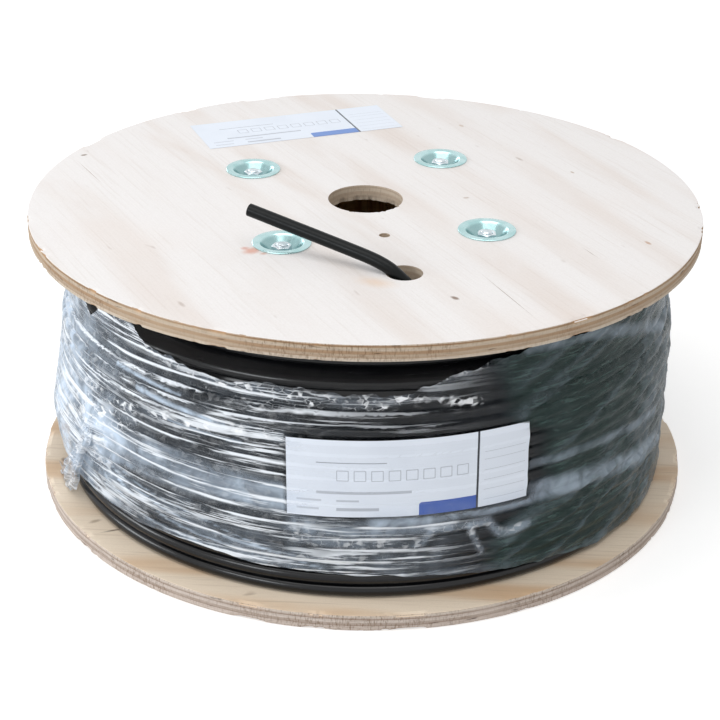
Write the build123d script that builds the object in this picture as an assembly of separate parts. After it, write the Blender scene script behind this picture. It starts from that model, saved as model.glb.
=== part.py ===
from build123d import *
import math
import os

# A small plywood cable drum, full of cable, standing on one flange.
# Millimetres. +Z is up the drum's axis and the origin is on that axis at the floor.
# The cable's start comes out through a hole in the top flange on the -Y side.

# Flanges
FLANGE_DIAMETER = 500.0
FLANGE_THICKNESS = 12.0
INNER_WIDTH = 192.0
ARBOUR_DIAMETER = 56.0
DRIVE_HOLE_DIAMETER = 8.0
DRIVE_HOLE_RADIUS = 72.0
START_HOLE_DIAMETER = 26.0
START_HOLE_OFF_BARREL = 1.6

# Barrel of mitred staves
BARREL_DIAMETER = 250.0
STAVE_COUNT = 18
STAVE_THICKNESS = 12.0
STAVE_GAP = 0.4

# Tie rods, which clamp the flanges on the barrel: round heads let into the bottom
# flange, and nuts in cup washers on the top one
ROD_COUNT = 4
ROD_DIAMETER = 8.0
ROD_OFF_STAVES = 1.5
ROD_END_BELOW_LIP = 1.2
ROD_HOLE_CLEARANCE = 0.3
HEAD_DIAMETER = 20.0
HEAD_HEIGHT = 4.4
HEAD_BELOW_FACE = 0.8
HEAD_CLEARANCE = 0.4
NUT_ACROSS_FLATS = 13.0
NUT_HEIGHT = 6.5
THREAD_CLEARANCE = 0.05

# Pressed cup washers: a flat lip round a dish whose floor carries the nut
CUP_DIAMETER = 42.0
CUP_MOUTH_DIAMETER = 31.4
CUP_FLOOR_DIAMETER = 18.0
CUP_DEPTH = 9.0
CUP_SHEET = 1.2
CUP_HOLE_CLEARANCE = 0.3
CUP_SEAT_CLEARANCE = 0.5

# Cable
CABLE_DIAMETER = 9.2
TURNS_PER_LAYER = 20
LAYERS = 13
OUTER_LAYER_TURNS = 16
SHOULDER_TURNS = 4
SHOULDER_DROP = 6.0
WINDING_CLEARANCE = 0.3
TURN_RELIEF = 2.2
WRAPPED_TURNS_PER_RIDGE = 2

# Film wrap and labels
FILM_THICKNESS = 0.6
FILM_CLEARANCE = 0.3
FILM_TOP_HEIGHT = 158.0
FILM_BOTTOM_HEIGHT = 26.0
LABEL_THICKNESS = 0.3
LABEL_CLEARANCE = 0.2
WINDING_LABEL_LENGTH = 168.0
WINDING_LABEL_WIDTH = 58.5
WINDING_LABEL_HEIGHT = 107.5
WINDING_LABEL_AZIMUTH = -92.8
FLANGE_LABEL_LENGTH = 166.0
FLANGE_LABEL_WIDTH = 59.0
FLANGE_LABEL_OFF_RIM = 79.2
FLANGE_LABEL_AZIMUTH = 98.65
FLANGE_LABEL_TURN = 10.2

# Sizes that follow from the ones above
FLANGE_RADIUS = FLANGE_DIAMETER / 2
BARREL_RADIUS = BARREL_DIAMETER / 2
OVERALL_HEIGHT = INNER_WIDTH + 2 * FLANGE_THICKNESS
INNER_TOP = FLANGE_THICKNESS + INNER_WIDTH
STAVE_ANGLE = 360 / STAVE_COUNT
STAVE_OUTER_FLAT = BARREL_RADIUS * math.cos(math.radians(STAVE_ANGLE / 2))
STAVE_INNER_FLAT = STAVE_OUTER_FLAT - STAVE_THICKNESS
ROD_CIRCLE_RADIUS = STAVE_INNER_FLAT - ROD_OFF_STAVES - ROD_DIAMETER / 2
START_HOLE_RADIUS = BARREL_RADIUS + START_HOLE_OFF_BARREL + START_HOLE_DIAMETER / 2
CUP_SLOPE = math.atan2(CUP_DEPTH, (CUP_MOUTH_DIAMETER - CUP_FLOOR_DIAMETER) / 2)
CUP_BACK_OFFSET = CUP_SHEET * math.tan(CUP_SLOPE / 2)
CUP_SEAT_DIAMETER = CUP_MOUTH_DIAMETER + 2 * (CUP_BACK_OFFSET + CUP_SEAT_CLEARANCE)

LIP_FACE = OVERALL_HEIGHT + CUP_SHEET
HEAD_SINK = HEAD_BELOW_FACE + HEAD_HEIGHT

WINDING_BORE_RADIUS = BARREL_RADIUS + WINDING_CLEARANCE
WINDING_BOTTOM = FLANGE_THICKNESS + WINDING_CLEARANCE
WINDING_TOP = INNER_TOP - WINDING_CLEARANCE
TURN_PITCH = (WINDING_TOP - WINDING_BOTTOM) / (TURNS_PER_LAYER + 0.5)
LAYER_PITCH = math.sqrt(CABLE_DIAMETER**2 - (TURN_PITCH / 2) ** 2)
FIRST_LAYER_RADIUS = WINDING_BORE_RADIUS + CABLE_DIAMETER
WRAPPED_RADIUS = FIRST_LAYER_RADIUS + (LAYERS - 1) * LAYER_PITCH
LABEL_OVER_TURNS = WRAPPED_RADIUS + LABEL_CLEARANCE
FILM_OVER_LABEL = LABEL_OVER_TURNS + LABEL_THICKNESS + FILM_CLEARANCE

# The cable's start: hand-set points from the winding up through the hole to the bare end.
# Each is measured from the hole's centre in the plane, and from the top flange's face in height.
START_ROUTE = [
    (6.2, -4.6, -12.0),
    (-1.0, -4.0, -4.0),
    (-13.5, 2.0, 7.2),
    (-42.0, 22.9, 14.2),
    (-97.4, 64.1, 27.0),
]
ROUTE_SHARE = 0.45


def ring_places(radius, count, first_angle):
    """The places of a round pattern, as Locations turned to face outwards."""
    return [
        Rot(0, 0, first_angle + 360 * i / count) * Pos(radius, 0, 0) for i in range(count)
    ]


ROD_PLACES = ring_places(ROD_CIRCLE_RADIUS, ROD_COUNT, 45)


def round_flange(base_height):
    """A round of plywood with the arbour hole."""
    ring = Circle(FLANGE_RADIUS) - Circle(ARBOUR_DIAMETER / 2)
    return Pos(0, 0, base_height) * extrude(ring, FLANGE_THICKNESS)


def bottom_flange():
    """The flange that the drum stands on, with the rods' heads let into its underside."""
    flange = round_flange(0)
    for place in ROD_PLACES:
        flange -= place * extrude(Circle(ROD_DIAMETER / 2 + ROD_HOLE_CLEARANCE), FLANGE_THICKNESS)
        flange -= place * extrude(Circle(HEAD_DIAMETER / 2 + HEAD_CLEARANCE), HEAD_SINK)
    return flange


def top_flange():
    """The flange with the cup washers' seats, the drive-pin hole and the cable start's hole."""
    flange = round_flange(INNER_TOP)
    holes = [(place, CUP_SEAT_DIAMETER) for place in ROD_PLACES]
    holes.append((Pos(0, -DRIVE_HOLE_RADIUS, 0), DRIVE_HOLE_DIAMETER))
    holes.append((Pos(0, -START_HOLE_RADIUS, 0), START_HOLE_DIAMETER))
    for place, diameter in holes:
        flange -= Pos(0, 0, INNER_TOP) * place * extrude(Circle(diameter / 2), FLANGE_THICKNESS)
    return flange


def staves():
    """The barrel's staves, with mitred edges, so that they close up into an arch."""
    half_turn = math.radians(STAVE_ANGLE / 2)

    def half_width(distance):
        return distance * math.tan(half_turn) - STAVE_GAP / 2 / math.cos(half_turn)

    inner, outer = half_width(STAVE_INNER_FLAT), half_width(STAVE_OUTER_FLAT)
    section = make_face(
        Polyline(
            (STAVE_INNER_FLAT, -inner),
            (STAVE_OUTER_FLAT, -outer),
            (STAVE_OUTER_FLAT, outer),
            (STAVE_INNER_FLAT, inner),
            close=True,
        )
    )
    stave = Pos(0, 0, FLANGE_THICKNESS) * extrude(section, INNER_WIDTH)
    return [Rot(0, 0, STAVE_ANGLE * i) * stave for i in range(STAVE_COUNT)]


def cup_washer():
    """A pressed cup washer with its lip's face at height 0 and its dish below."""
    lip, mouth, floor = CUP_DIAMETER / 2, CUP_MOUTH_DIAMETER / 2, CUP_FLOOR_DIAMETER / 2
    hole = ROD_DIAMETER / 2 + CUP_HOLE_CLEARANCE
    section = make_face(
        Polyline(
            (lip, 0, 0),
            (mouth, 0, 0),
            (floor, 0, -CUP_DEPTH),
            (hole, 0, -CUP_DEPTH),
            (hole, 0, -CUP_DEPTH - CUP_SHEET),
            (floor + CUP_BACK_OFFSET, 0, -CUP_DEPTH - CUP_SHEET),
            (mouth + CUP_BACK_OFFSET, 0, -CUP_SHEET),
            (lip, 0, -CUP_SHEET),
            close=True,
        )
    )
    return revolve(section, Axis.Z)


def hex_nut():
    """A plain hexagon nut standing on height 0."""
    across_corners = NUT_ACROSS_FLATS / math.cos(math.radians(30))
    outline = RegularPolygon(across_corners / 2, 6)
    return extrude(outline - Circle(ROD_DIAMETER / 2 + THREAD_CLEARANCE), NUT_HEIGHT)


def on_rods(piece, height):
    """Copies of a piece on all the rods."""
    return Compound(children=[place * Pos(0, 0, height) * piece for place in ROD_PLACES])


def tie_rods():
    """Rods with a flat round head, from the bottom flange's recess to below the lips."""
    stem, rim, end = ROD_DIAMETER / 2, HEAD_DIAMETER / 2, LIP_FACE - ROD_END_BELOW_LIP
    section = make_face(
        Polyline(
            (0, 0, HEAD_BELOW_FACE),
            (rim, 0, HEAD_BELOW_FACE),
            (rim, 0, HEAD_SINK),
            (stem, 0, HEAD_SINK),
            (stem, 0, end),
            (0, 0, end),
            close=True,
        )
    )
    rod = revolve(section, Axis.Z)
    return [place * rod for place in ROD_PLACES]


def layer_radius(layer):
    """The outer radius of a layer of turns, the first layer being 0."""
    return FIRST_LAYER_RADIUS + layer * LAYER_PITCH


def turn_height(turn, layer):
    """The height of a turn's middle: layers alternate by half a pitch, so that they nest."""
    nested = 0.5 if layer % 2 else 0.0
    return WINDING_BOTTOM + (turn + 0.5 + nested) * TURN_PITCH


def outer_turns():
    """The height and radius of each turn on the outside, from the bottom up.

    The last layer's top turns sink inwards as a shoulder, and it stops short of the top
    flange. Above it one turn of the layer below shows, and then the layer under that one.
    """
    last = LAYERS - 1
    level_turns = OUTER_LAYER_TURNS - 1 - SHOULDER_TURNS
    turns = []
    for i in range(OUTER_LAYER_TURNS):
        sunk = SHOULDER_DROP * (max(0, i - level_turns) / SHOULDER_TURNS) ** 2
        turns.append((turn_height(i, last), layer_radius(last) - sunk))
    turns.append((turn_height(OUTER_LAYER_TURNS, last - 1), layer_radius(last - 1)))
    for i in range(OUTER_LAYER_TURNS + 2, TURNS_PER_LAYER):
        turns.append((turn_height(i, last - 2), layer_radius(last - 2)))
    return turns


def ridges(turns):
    """The outline of a row of turns: a crest for each, and a groove between two.

    The further apart two crests are, the deeper the groove between them.
    """
    points = []
    for (height, radius), (next_height, next_radius) in zip(turns, turns[1:]):
        relief = TURN_RELIEF * (next_height - height) / TURN_PITCH
        groove = min(radius, next_radius) - relief
        points += [(radius, 0, height), (groove, 0, (height + next_height) / 2)]
    points.append((turns[-1][1], 0, turns[-1][0]))
    return points


def cable_winding():
    """The whole winding as one turned solid.

    Each bare turn is a ridge on its outside, and so is every second turn under the film.
    """
    turns = outer_turns()
    below = [turn for turn in turns if turn[0] < FILM_BOTTOM_HEIGHT]
    above = [turn for turn in turns if turn[0] > FILM_TOP_HEIGHT]
    wrapped = turns[len(below) : len(turns) - len(above)]
    outline = ridges(below + wrapped[::WRAPPED_TURNS_PER_RIDGE] + above)
    ends = [
        (WINDING_BORE_RADIUS, 0, WINDING_BOTTOM),
        (turns[0][1] - TURN_RELIEF, 0, WINDING_BOTTOM),
        (turns[-1][1] - TURN_RELIEF, 0, WINDING_TOP),
        (WINDING_BORE_RADIUS, 0, WINDING_TOP),
    ]
    return revolve(make_face(Polyline(*ends[:2], *outline, *ends[2:], close=True)), Axis.Z)


def route_radii(points):
    """One bend radius for each inner point: a share of the shorter run beside it."""
    radii = []
    for before, here, after in zip(points, points[1:], points[2:]):
        run_in, run_out = here - before, after - here
        turn = math.radians(run_in.get_angle(run_out))
        shorter = min(run_in.length, run_out.length)
        radii.append(ROUTE_SHARE * shorter / math.tan(turn / 2))
    return radii


def cable_start_end(winding):
    """The cable's bare start, from the winding out through the hole in the top flange."""
    points = [
        Vector(x, y - START_HOLE_RADIUS, z + OVERALL_HEIGHT) for x, y, z in START_ROUTE
    ]
    radii = route_radii(points)
    print("start bend radii", [round(r, 1) for r in radii])
    path = FilletPolyline(*points, radius=radii)
    tube = sweep(path.location_at(0) * Circle(CABLE_DIAMETER / 2), path=path)
    print("tube volume", round(tube.volume), "section times length",
          round(math.pi * CABLE_DIAMETER**2 / 4 * path.length))
    return tube - winding


def film_wrap():
    """Stretch film round the winding, as one thin skin over the turns and the label."""
    ring = Circle(FILM_OVER_LABEL + FILM_THICKNESS) - Circle(FILM_OVER_LABEL)
    return Pos(0, 0, FILM_BOTTOM_HEIGHT) * extrude(ring, FILM_TOP_HEIGHT - FILM_BOTTOM_HEIGHT)


def winding_label():
    """A paper label bent round the turns, under the film."""
    section = Rectangle(LABEL_THICKNESS, WINDING_LABEL_WIDTH, align=(Align.MIN, Align.CENTER))
    place = Pos(LABEL_OVER_TURNS, 0, WINDING_LABEL_HEIGHT) * Rot(90, 0, 0)
    arc = math.degrees(WINDING_LABEL_LENGTH / LABEL_OVER_TURNS)
    label = revolve(place * section, Axis.Z, revolution_arc=arc)
    return Rot(0, 0, WINDING_LABEL_AZIMUTH - arc / 2) * label


def flange_label():
    """A paper label stuck flat on the top flange."""
    sheet = extrude(Rectangle(FLANGE_LABEL_LENGTH, FLANGE_LABEL_WIDTH), LABEL_THICKNESS)
    centre = Rot(0, 0, FLANGE_LABEL_AZIMUTH) * Pos(FLANGE_RADIUS - FLANGE_LABEL_OFF_RIM, 0, 0)
    x, y, _ = centre.position
    return Pos(x, y, OVERALL_HEIGHT) * Rot(0, 0, FLANGE_LABEL_TURN) * sheet


def drum():
    """Every piece of the drum by the name of its node."""
    winding = cable_winding()
    pieces = {
        "bottom_flange": bottom_flange(),
        "top_flange": top_flange(),
        "cup_washers": on_rods(cup_washer(), LIP_FACE),
        "hex_nuts": on_rods(hex_nut(), LIP_FACE - CUP_DEPTH),
        "cable_winding": winding,
        "cable_start_end": cable_start_end(winding),
        "film_wrap": film_wrap(),
        "winding_label": winding_label(),
        "flange_label": flange_label(),
    }
    pieces.update({f"stave_{i:02d}": stave for i, stave in enumerate(staves(), 1)})
    pieces.update({f"tie_rod_{i}": rod for i, rod in enumerate(tie_rods(), 1)})
    return pieces


os.makedirs("parts", exist_ok=True)
for name, piece in drum().items():
    export_step(piece, f"parts/{name}.step")
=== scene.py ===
"""The looks of a small plywood cable drum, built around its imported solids.

Units are metres. +Z is up the drum's axis, the origin is on the floor under it, and the
cable's start comes out of the top flange on the -Y side. Angles about the axis are in
degrees from +X, so the side that the camera sees is near -101.
"""

import logging
import math
import random
from contextlib import contextmanager
from dataclasses import dataclass, field
from enum import Enum
from typing import Callable, Iterable, Iterator, Sequence, Union

import bpy
from mathutils import Matrix, Vector, noise


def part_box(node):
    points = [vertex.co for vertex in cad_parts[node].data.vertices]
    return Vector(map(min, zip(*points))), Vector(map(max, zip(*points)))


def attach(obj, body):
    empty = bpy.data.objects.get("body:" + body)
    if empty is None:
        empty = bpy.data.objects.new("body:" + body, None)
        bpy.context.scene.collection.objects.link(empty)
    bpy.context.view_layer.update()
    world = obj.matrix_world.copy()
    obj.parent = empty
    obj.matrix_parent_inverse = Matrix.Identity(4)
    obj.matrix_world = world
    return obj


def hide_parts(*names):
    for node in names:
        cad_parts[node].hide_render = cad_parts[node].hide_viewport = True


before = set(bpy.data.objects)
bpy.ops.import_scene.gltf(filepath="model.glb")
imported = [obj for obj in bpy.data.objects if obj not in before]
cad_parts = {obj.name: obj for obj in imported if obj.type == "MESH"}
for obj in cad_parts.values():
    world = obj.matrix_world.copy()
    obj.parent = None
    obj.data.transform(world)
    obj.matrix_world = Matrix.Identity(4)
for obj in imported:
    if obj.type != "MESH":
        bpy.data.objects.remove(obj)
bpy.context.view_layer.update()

log = logging.getLogger("cable_drum")

MM = 0.001
BODY = "root"
WHOLE_TURN = 2 * math.pi

Colour = tuple[float, float, float, float]
Point = tuple[float, float]
Place = tuple[float, float, float]
Socket = bpy.types.NodeSocket
Piece = bpy.types.Object
Material = bpy.types.Material
Value = Union[float, Sequence[float], Socket]

TURNS_UP = 20
LIP_RADIUS = 21.0 * MM
WRAP_LABEL = (168.0 * MM, 58.5 * MM)
FLAT_LABEL = (166.0 * MM, 59.0 * MM)


class Slot(Enum):
    """The record's material slots, one for each kind of finish."""

    PLYWOOD = "plywood"
    ZINC_PLATE = "zinc_plate"
    CABLE_SHEATH = "cable_sheath"
    STRETCH_FILM = "stretch_film"
    LABEL_PAPER = "label_paper"


class Sum(Enum):
    """What a Math node or a Vector Math node works out."""

    TOTAL = "ADD"
    REST = "SUBTRACT"
    PRODUCT = "MULTIPLY"
    RATIO = "DIVIDE"
    LARGER = "MAXIMUM"
    FRACTION = "FRACT"
    SIZE = "ABSOLUTE"
    LESS = "LESS_THAN"
    LENGTH = "LENGTH"


class Cells(Enum):
    """What a texture of cells tells: each cell's own number, or how near its border is."""

    NUMBER = "F1"
    BORDER = "DISTANCE_TO_EDGE"


class Keep(Enum):
    """Which part of a piece a cutter leaves."""

    OUTSIDE = "DIFFERENCE"
    INSIDE = "INTERSECT"


def ink(red: int, green: int, blue: int) -> Colour:
    """A colour as a painter writes it, 0 to 255, in the linear numbers that a shader takes.

    Args:
        red: how red it is.
        green: how green it is.
        blue: how blue it is.

    Returns:
        The linear colour, opaque.
    """

    def linear(part: int) -> float:
        """One part in linear numbers."""
        share = part / 255
        return share / 12.92 if share <= 0.04045 else ((share + 0.055) / 1.055) ** 2.4

    return (linear(red), linear(green), linear(blue), 1.0)


def smooth(low: float, high: float, value: float) -> float:
    """A smooth step from 0 at low to 1 at high.

    Args:
        low: where the step leaves 0.
        high: where it reaches 1, below low for a step down.
        value: where to read it.

    Returns:
        The step's height there.
    """
    share = min(1.0, max(0.0, (value - low) / (high - low)))
    return share * share * (3 - 2 * share)


def hill(offset: float, width: float) -> float:
    """A bell curve: 1 at no offset, and about 0.6 at one width."""
    return math.exp(-0.5 * (offset / width) ** 2)


def turned_from(azimuth: float, centre: float) -> float:
    """How far an azimuth lies from another, in degrees, from -180 to 180."""
    return (azimuth - centre + 180) % 360 - 180


def around(table: Sequence[Point], azimuth: float) -> float:
    """Reads a closed table of (azimuth, value) pairs, with smooth steps between them.

    Args:
        table: pairs in order of azimuth, all within one turn.
        azimuth: where to read it, in degrees.

    Returns:
        The value there.
    """
    first = table[0][0]
    angle = (azimuth - first) % 360 + first
    closed = [*table, (first + 360, table[0][1])]
    for (start, before), (end, after) in zip(closed, closed[1:]):
        if angle <= end:
            return before + (after - before) * smooth(start, end, angle)
    return table[0][1]


def along(table: Sequence[Point], value: float) -> float:
    """Reads an open table of pairs with straight steps, level beyond its ends.

    Args:
        table: pairs in order of their first number.
        value: where to read it.

    Returns:
        The second number there.
    """
    if value <= table[0][0]:
        return table[0][1]
    for (start, before), (end, after) in zip(table, table[1:]):
        if value <= end:
            return before + (after - before) * (value - start) / (end - start)
    return table[-1][1]


class Graph:
    """A material's shader tree, with a short call for each kind of node used here."""

    def __init__(self, name: str) -> None:
        """Makes a material with a Principled shader alone.

        Args:
            name: the material's name.
        """
        self.material = bpy.data.materials.new(name)
        self.material.use_nodes = True
        self.nodes = self.material.node_tree.nodes
        self.links = self.material.node_tree.links
        self.nodes.clear()
        output = self.nodes.new("ShaderNodeOutputMaterial")
        self.shader = self.nodes.new("ShaderNodeBsdfPrincipled")
        self.links.new(self.shader.outputs[0], output.inputs["Surface"])

    def put(self, socket: Socket, value: Value) -> None:
        """Links a socket, or sets its own value.

        Args:
            socket: the input to fill.
            value: a link's start, or a number, vector or colour.
        """
        if isinstance(value, Socket):
            self.links.new(value, socket)
        else:
            socket.default_value = value

    def add(self, kind: str, **values: Value | str) -> bpy.types.Node:
        """Adds a node and fills it in.

        Args:
            kind: its type, without ShaderNode in front.
            **values: its sockets, which start with a capital and have _ for a space, and its settings.

        Returns:
            The node.
        """
        node = self.nodes.new("ShaderNode" + kind)
        for name, value in values.items():
            if name[0].isupper():
                self.put(node.inputs[name.replace("_", " ")], value)
            else:
                setattr(node, name, value)
        return node

    def surface(self, **values: Value) -> Material:
        """Sets the Principled shader's sockets.

        Args:
            **values: what each is given, named with _ for a space.

        Returns:
            The material.
        """
        for name, value in values.items():
            self.put(self.shader.inputs[name.replace("_", " ")], value)
        return self.material

    def coordinates(self) -> Socket:
        """The piece's own Object coordinates, in metres."""
        return self.add("TexCoord").outputs["Object"]

    def unwrapped(self, name: str) -> Socket:
        """The place on the piece's own UV map of that name, in metres."""
        return self.add("UVMap", uv_map=name).outputs["UV"]

    def attribute(self, name: str) -> Socket:
        """A number of that name that is kept at each of the piece's vertices."""
        return self.add("Attribute", attribute_name=name).outputs["Fac"]

    def mapped(
        self,
        vector: Socket,
        scale: Place = (1, 1, 1),
        turn: float = 0.0,
        centre: Place = (0, 0, 0),
        inverse: bool = False,
    ) -> Socket:
        """A vector that is scaled and turned about Z.

        Args:
            vector: what to change.
            scale: how much along each axis.
            turn: how far, in degrees.
            centre: what is added, or where the shape's middle lies if inverse.
            inverse: whether the vector is read in the scaled and turned shape's own frame.

        Returns:
            The changed vector.
        """
        kind, angles = ("TEXTURE" if inverse else "POINT"), (0, 0, math.radians(turn))
        return self.add(
            "Mapping", vector_type=kind, Vector=vector, Location=centre, Rotation=angles, Scale=scale
        ).outputs[0]

    def noise(
        self,
        vector: Socket,
        scale: float,
        detail: float,
        roughness: float,
        distortion: float = 0.0,
    ) -> Socket:
        """Soft noise, 0 to 1 with most of it near 0.5.

        Args:
            vector: where to read it.
            scale: how fine it is.
            detail: how many finer layers it has.
            roughness: how strong those are.
            distortion: how much it is bent.

        Returns:
            The noise.
        """
        return self.add(
            "TexNoise", Vector=vector, Scale=scale, Detail=detail, Roughness=roughness, Distortion=distortion
        ).outputs[0]

    def drawn_out(
        self,
        vector: Socket,
        scale: Place,
        detail: float,
        roughness: float,
        distortion: float = 0.0,
        turn: float = 0.0,
    ) -> Socket:
        """Noise whose scale differs along X, Y and Z, and which may be turned in degrees about Z."""
        return self.noise(self.mapped(vector, scale, turn), 1.0, detail, roughness, distortion)

    def waves(self, vector: Socket, scale: float, bend: float, fineness: float) -> Socket:
        """Distorted bands across X, as growth rings make on a cut face.

        Args:
            vector: where to read them.
            scale: how narrow they are.
            bend: how much they bend.
            fineness: how fine the bends are.

        Returns:
            The bands, 0 to 1.
        """
        return self.add(
            "TexWave", Vector=vector, Scale=scale, Distortion=bend, Detail=2.0, Detail_Scale=fineness
        ).outputs["Fac"]

    def sum(self, kind: Sum, first: Value, second: Value = 0.0) -> Socket:
        """A Math node.

        Args:
            kind: what it works out.
            first: its first number.
            second: its second.

        Returns:
            The result.
        """
        node = self.add("Math", operation=kind.value)
        self.put(node.inputs[0], first)
        self.put(node.inputs[1], second)
        return node.outputs[0]

    def times(self, first: Value, second: Value) -> Socket:
        """The product of two numbers."""
        return self.sum(Sum.PRODUCT, first, second)

    def plus(self, first: Value, second: Value) -> Socket:
        """Two numbers added."""
        return self.sum(Sum.TOTAL, first, second)

    def larger(self, first: Value, second: Value) -> Socket:
        """The larger of two numbers."""
        return self.sum(Sum.LARGER, first, second)

    def weighed(self, first: Value, share: float, second: Value, rest: float) -> Socket:
        """Two numbers, each times its own share, added."""
        return self.plus(self.times(first, share), self.times(second, rest))

    def vector(self, kind: Sum, first: Value, second: Value = (0, 0, 0)) -> Socket:
        """A Vector Math node.

        Args:
            kind: what it works out.
            first: its first vector.
            second: its second, where the kind takes two.

        Returns:
            A vector, or a number where the kind is a length.
        """
        node = self.add("VectorMath", operation=kind.value)
        self.put(node.inputs[0], first)
        if kind not in (Sum.LENGTH, Sum.SIZE):
            self.put(node.inputs[1], second)
        return node.outputs["Value" if kind is Sum.LENGTH else "Vector"]

    def from_axis(self, place: Socket) -> Socket:
        """How far a place lies from the drum's axis."""
        return self.vector(Sum.LENGTH, self.vector(Sum.PRODUCT, place, (1, 1, 0)))

    def axis(self, vector: Socket, name: str) -> Socket:
        """One part of a vector: X, Y or Z."""
        return self.add("SeparateXYZ", Vector=vector).outputs[name]

    def spread(
        self, value: Value, low: float, high: float, to_low: float = 0.0, to_high: float = 1.0
    ) -> Socket:
        """Maps low to high on to another range, smoothly and without passing its ends.

        Args:
            value: what to map.
            low: where it starts.
            high: where it ends.
            to_low: what the start gives.
            to_high: what the end gives.

        Returns:
            The mapped number.
        """
        node = self.add("MapRange", interpolation_type="SMOOTHSTEP", Value=value)
        for name, number in {"From Min": low, "From Max": high, "To Min": to_low, "To Max": to_high}.items():
            node.inputs[name].default_value = number
        return node.outputs[0]

    def part_way(self, value: Value, low: float, high: float) -> Socket:
        """Where a value lies between low and high, 0 to 1, in straight steps."""
        return self.add("MapRange", Value=value, From_Min=low, From_Max=high).outputs[0]

    def cells(self, vector: Socket, scale: float, kind: Cells) -> Socket:
        """Small cells.

        Args:
            vector: where to read them.
            scale: how small they are.
            kind: what is told of them.

        Returns:
            Each cell's own number, or the distance to its border.
        """
        node = self.add("TexVoronoi", feature=kind.value, Vector=vector, Scale=scale)
        if kind is Cells.BORDER:
            return node.outputs["Distance"]
        return self.axis(node.outputs["Color"], "X")

    def mix(self, share: Value, first: Value, second: Value) -> Socket:
        """Two colours mixed.

        Args:
            share: how much of the second shows.
            first: the colour below.
            second: the colour over it.

        Returns:
            The mixed colour.
        """
        node = self.add("Mix", data_type="RGBA")
        for socket, value in ((0, share), (6, first), (7, second)):
            self.put(node.inputs[socket], value)
        return node.outputs[2]

    def tinted(
        self, colour: Value, tint: Value, value: Value, low: float, high: float, most: float
    ) -> Socket:
        """A colour with a tint laid over it where a value rises.

        Args:
            colour: the colour below.
            tint: the colour over it.
            value: what says where.
            low: where the tint starts to show.
            high: where all of it shows.
            most: how much of it shows then.

        Returns:
            The tinted colour.
        """
        return self.mix(self.spread(value, low, high, 0.0, most), colour, tint)

    def ramp(self, value: Value, stops: Sequence[tuple[float, Colour]]) -> Socket:
        """A colour ramp in straight steps.

        Args:
            value: where to read it, 0 to 1.
            stops: places along it with their colours.

        Returns:
            The colour there.
        """
        node = self.add("ValToRGB", Fac=value)
        parts = node.color_ramp.elements
        while len(parts) < len(stops):
            parts.new(1.0)
        for part, (position, colour) in zip(parts, stops):
            part.position = position
            part.color = colour
        return node.outputs[0]

    def bump(self, height: Value, depth: float, strength: float) -> Socket:
        """A normal from a height of 0 to 1, where 1 stands depth metres proud, by a strength."""
        return self.add("Bump", Strength=strength, Distance=depth, Height=height).outputs[0]


@dataclass(frozen=True)
class Mark:
    """A knot, speck, stain, split or painted shadow on a board: an oval at a place, soft at its edge."""

    x: float
    y: float
    long: float
    wide: float
    turn: float
    colour: Colour
    strength: float = 0.8
    softness: float = 0.6
    raggedness: float = 0.35


@dataclass(frozen=True)
class PlywoodFace:
    """The face veneer of a sheet of plywood: pale, with wide figure and fine pores."""

    name: str
    pale: Colour
    warm: Colour
    grain_turn: float
    figure: float
    marks: tuple[Mark, ...]
    pores: float = 0.1

    def material(self) -> Material:
        """Builds the shader.

        Returns:
            The veneer's material.
        """
        graph = Graph(self.name)
        place = graph.coordinates()
        grain = graph.mapped(place, turn=-self.grain_turn)
        wide = graph.noise(graph.mapped(grain, scale=(2.2, 9.0, 9.0)), 1.6, 3.0, 0.5, 1.2)
        rings = graph.waves(graph.mapped(grain, scale=(0.35, 1.0, 1.0), turn=90.0), 5.5, 9.0, 0.55)
        pores = graph.drawn_out(grain, (14.0, 420.0, 420.0), 2.0, 0.7)
        fuzz = graph.noise(place, 900.0, 2.0, 0.6)
        figure = graph.times(graph.spread(rings, 0.15, 0.95), graph.spread(wide, 0.3, 0.72))
        colour = graph.mix(graph.times(figure, self.figure), self.pale, self.warm)
        blush = graph.spread(graph.noise(place, 5.0, 2.0, 0.5), 0.5, 0.75, 0.0, 0.16)
        colour = graph.mix(blush, colour, ink(232, 208, 190))
        colour = graph.tinted(colour, ink(176, 152, 128), pores, 0.5, 0.78, self.pores)
        colour = graph.tinted(colour, ink(150, 130, 112), fuzz, 0.3, 0.7, 0.06)
        specks = graph.drawn_out(grain, (40.0, 110.0, 110.0), 1.0, 0.4)
        colour = graph.tinted(colour, ink(140, 112, 88), specks, 0.76, 0.86, 0.45)
        for mark in self.marks:
            colour = self.marked(graph, place, colour, mark)
        height = graph.weighed(pores, 0.7, fuzz, 0.3)
        return graph.surface(
            Base_Color=colour,
            Roughness=graph.spread(pores, 0.2, 0.8, 0.52, 0.68),
            Specular_IOR_Level=0.3,
            Normal=graph.bump(height, 0.25 * MM, 0.55),
        )

    @staticmethod
    def marked(graph: Graph, place: Socket, colour: Value, mark: Mark) -> Socket:
        """Lays one mark over the colour.

        Args:
            graph: the face's shader tree.
            place: the place on the board.
            colour: the colour so far.
            mark: what to lay over it.

        Returns:
            The colour with the mark.
        """
        flat = graph.vector(Sum.PRODUCT, place, (1, 1, 0))
        half = (mark.long / 2, mark.wide / 2, 1.0)
        local = graph.mapped(flat, half, mark.turn, (mark.x, mark.y, 0.0), inverse=True)
        distance = graph.vector(Sum.LENGTH, local)
        ragged = graph.noise(place, 260.0, 2.0, 0.6)
        distance = graph.plus(distance, graph.times(ragged, mark.raggedness))
        edge = 1.0 + mark.raggedness / 2
        share = graph.spread(distance, edge, edge - mark.softness, 0.0, mark.strength)
        return graph.mix(share, colour, mark.colour)


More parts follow.
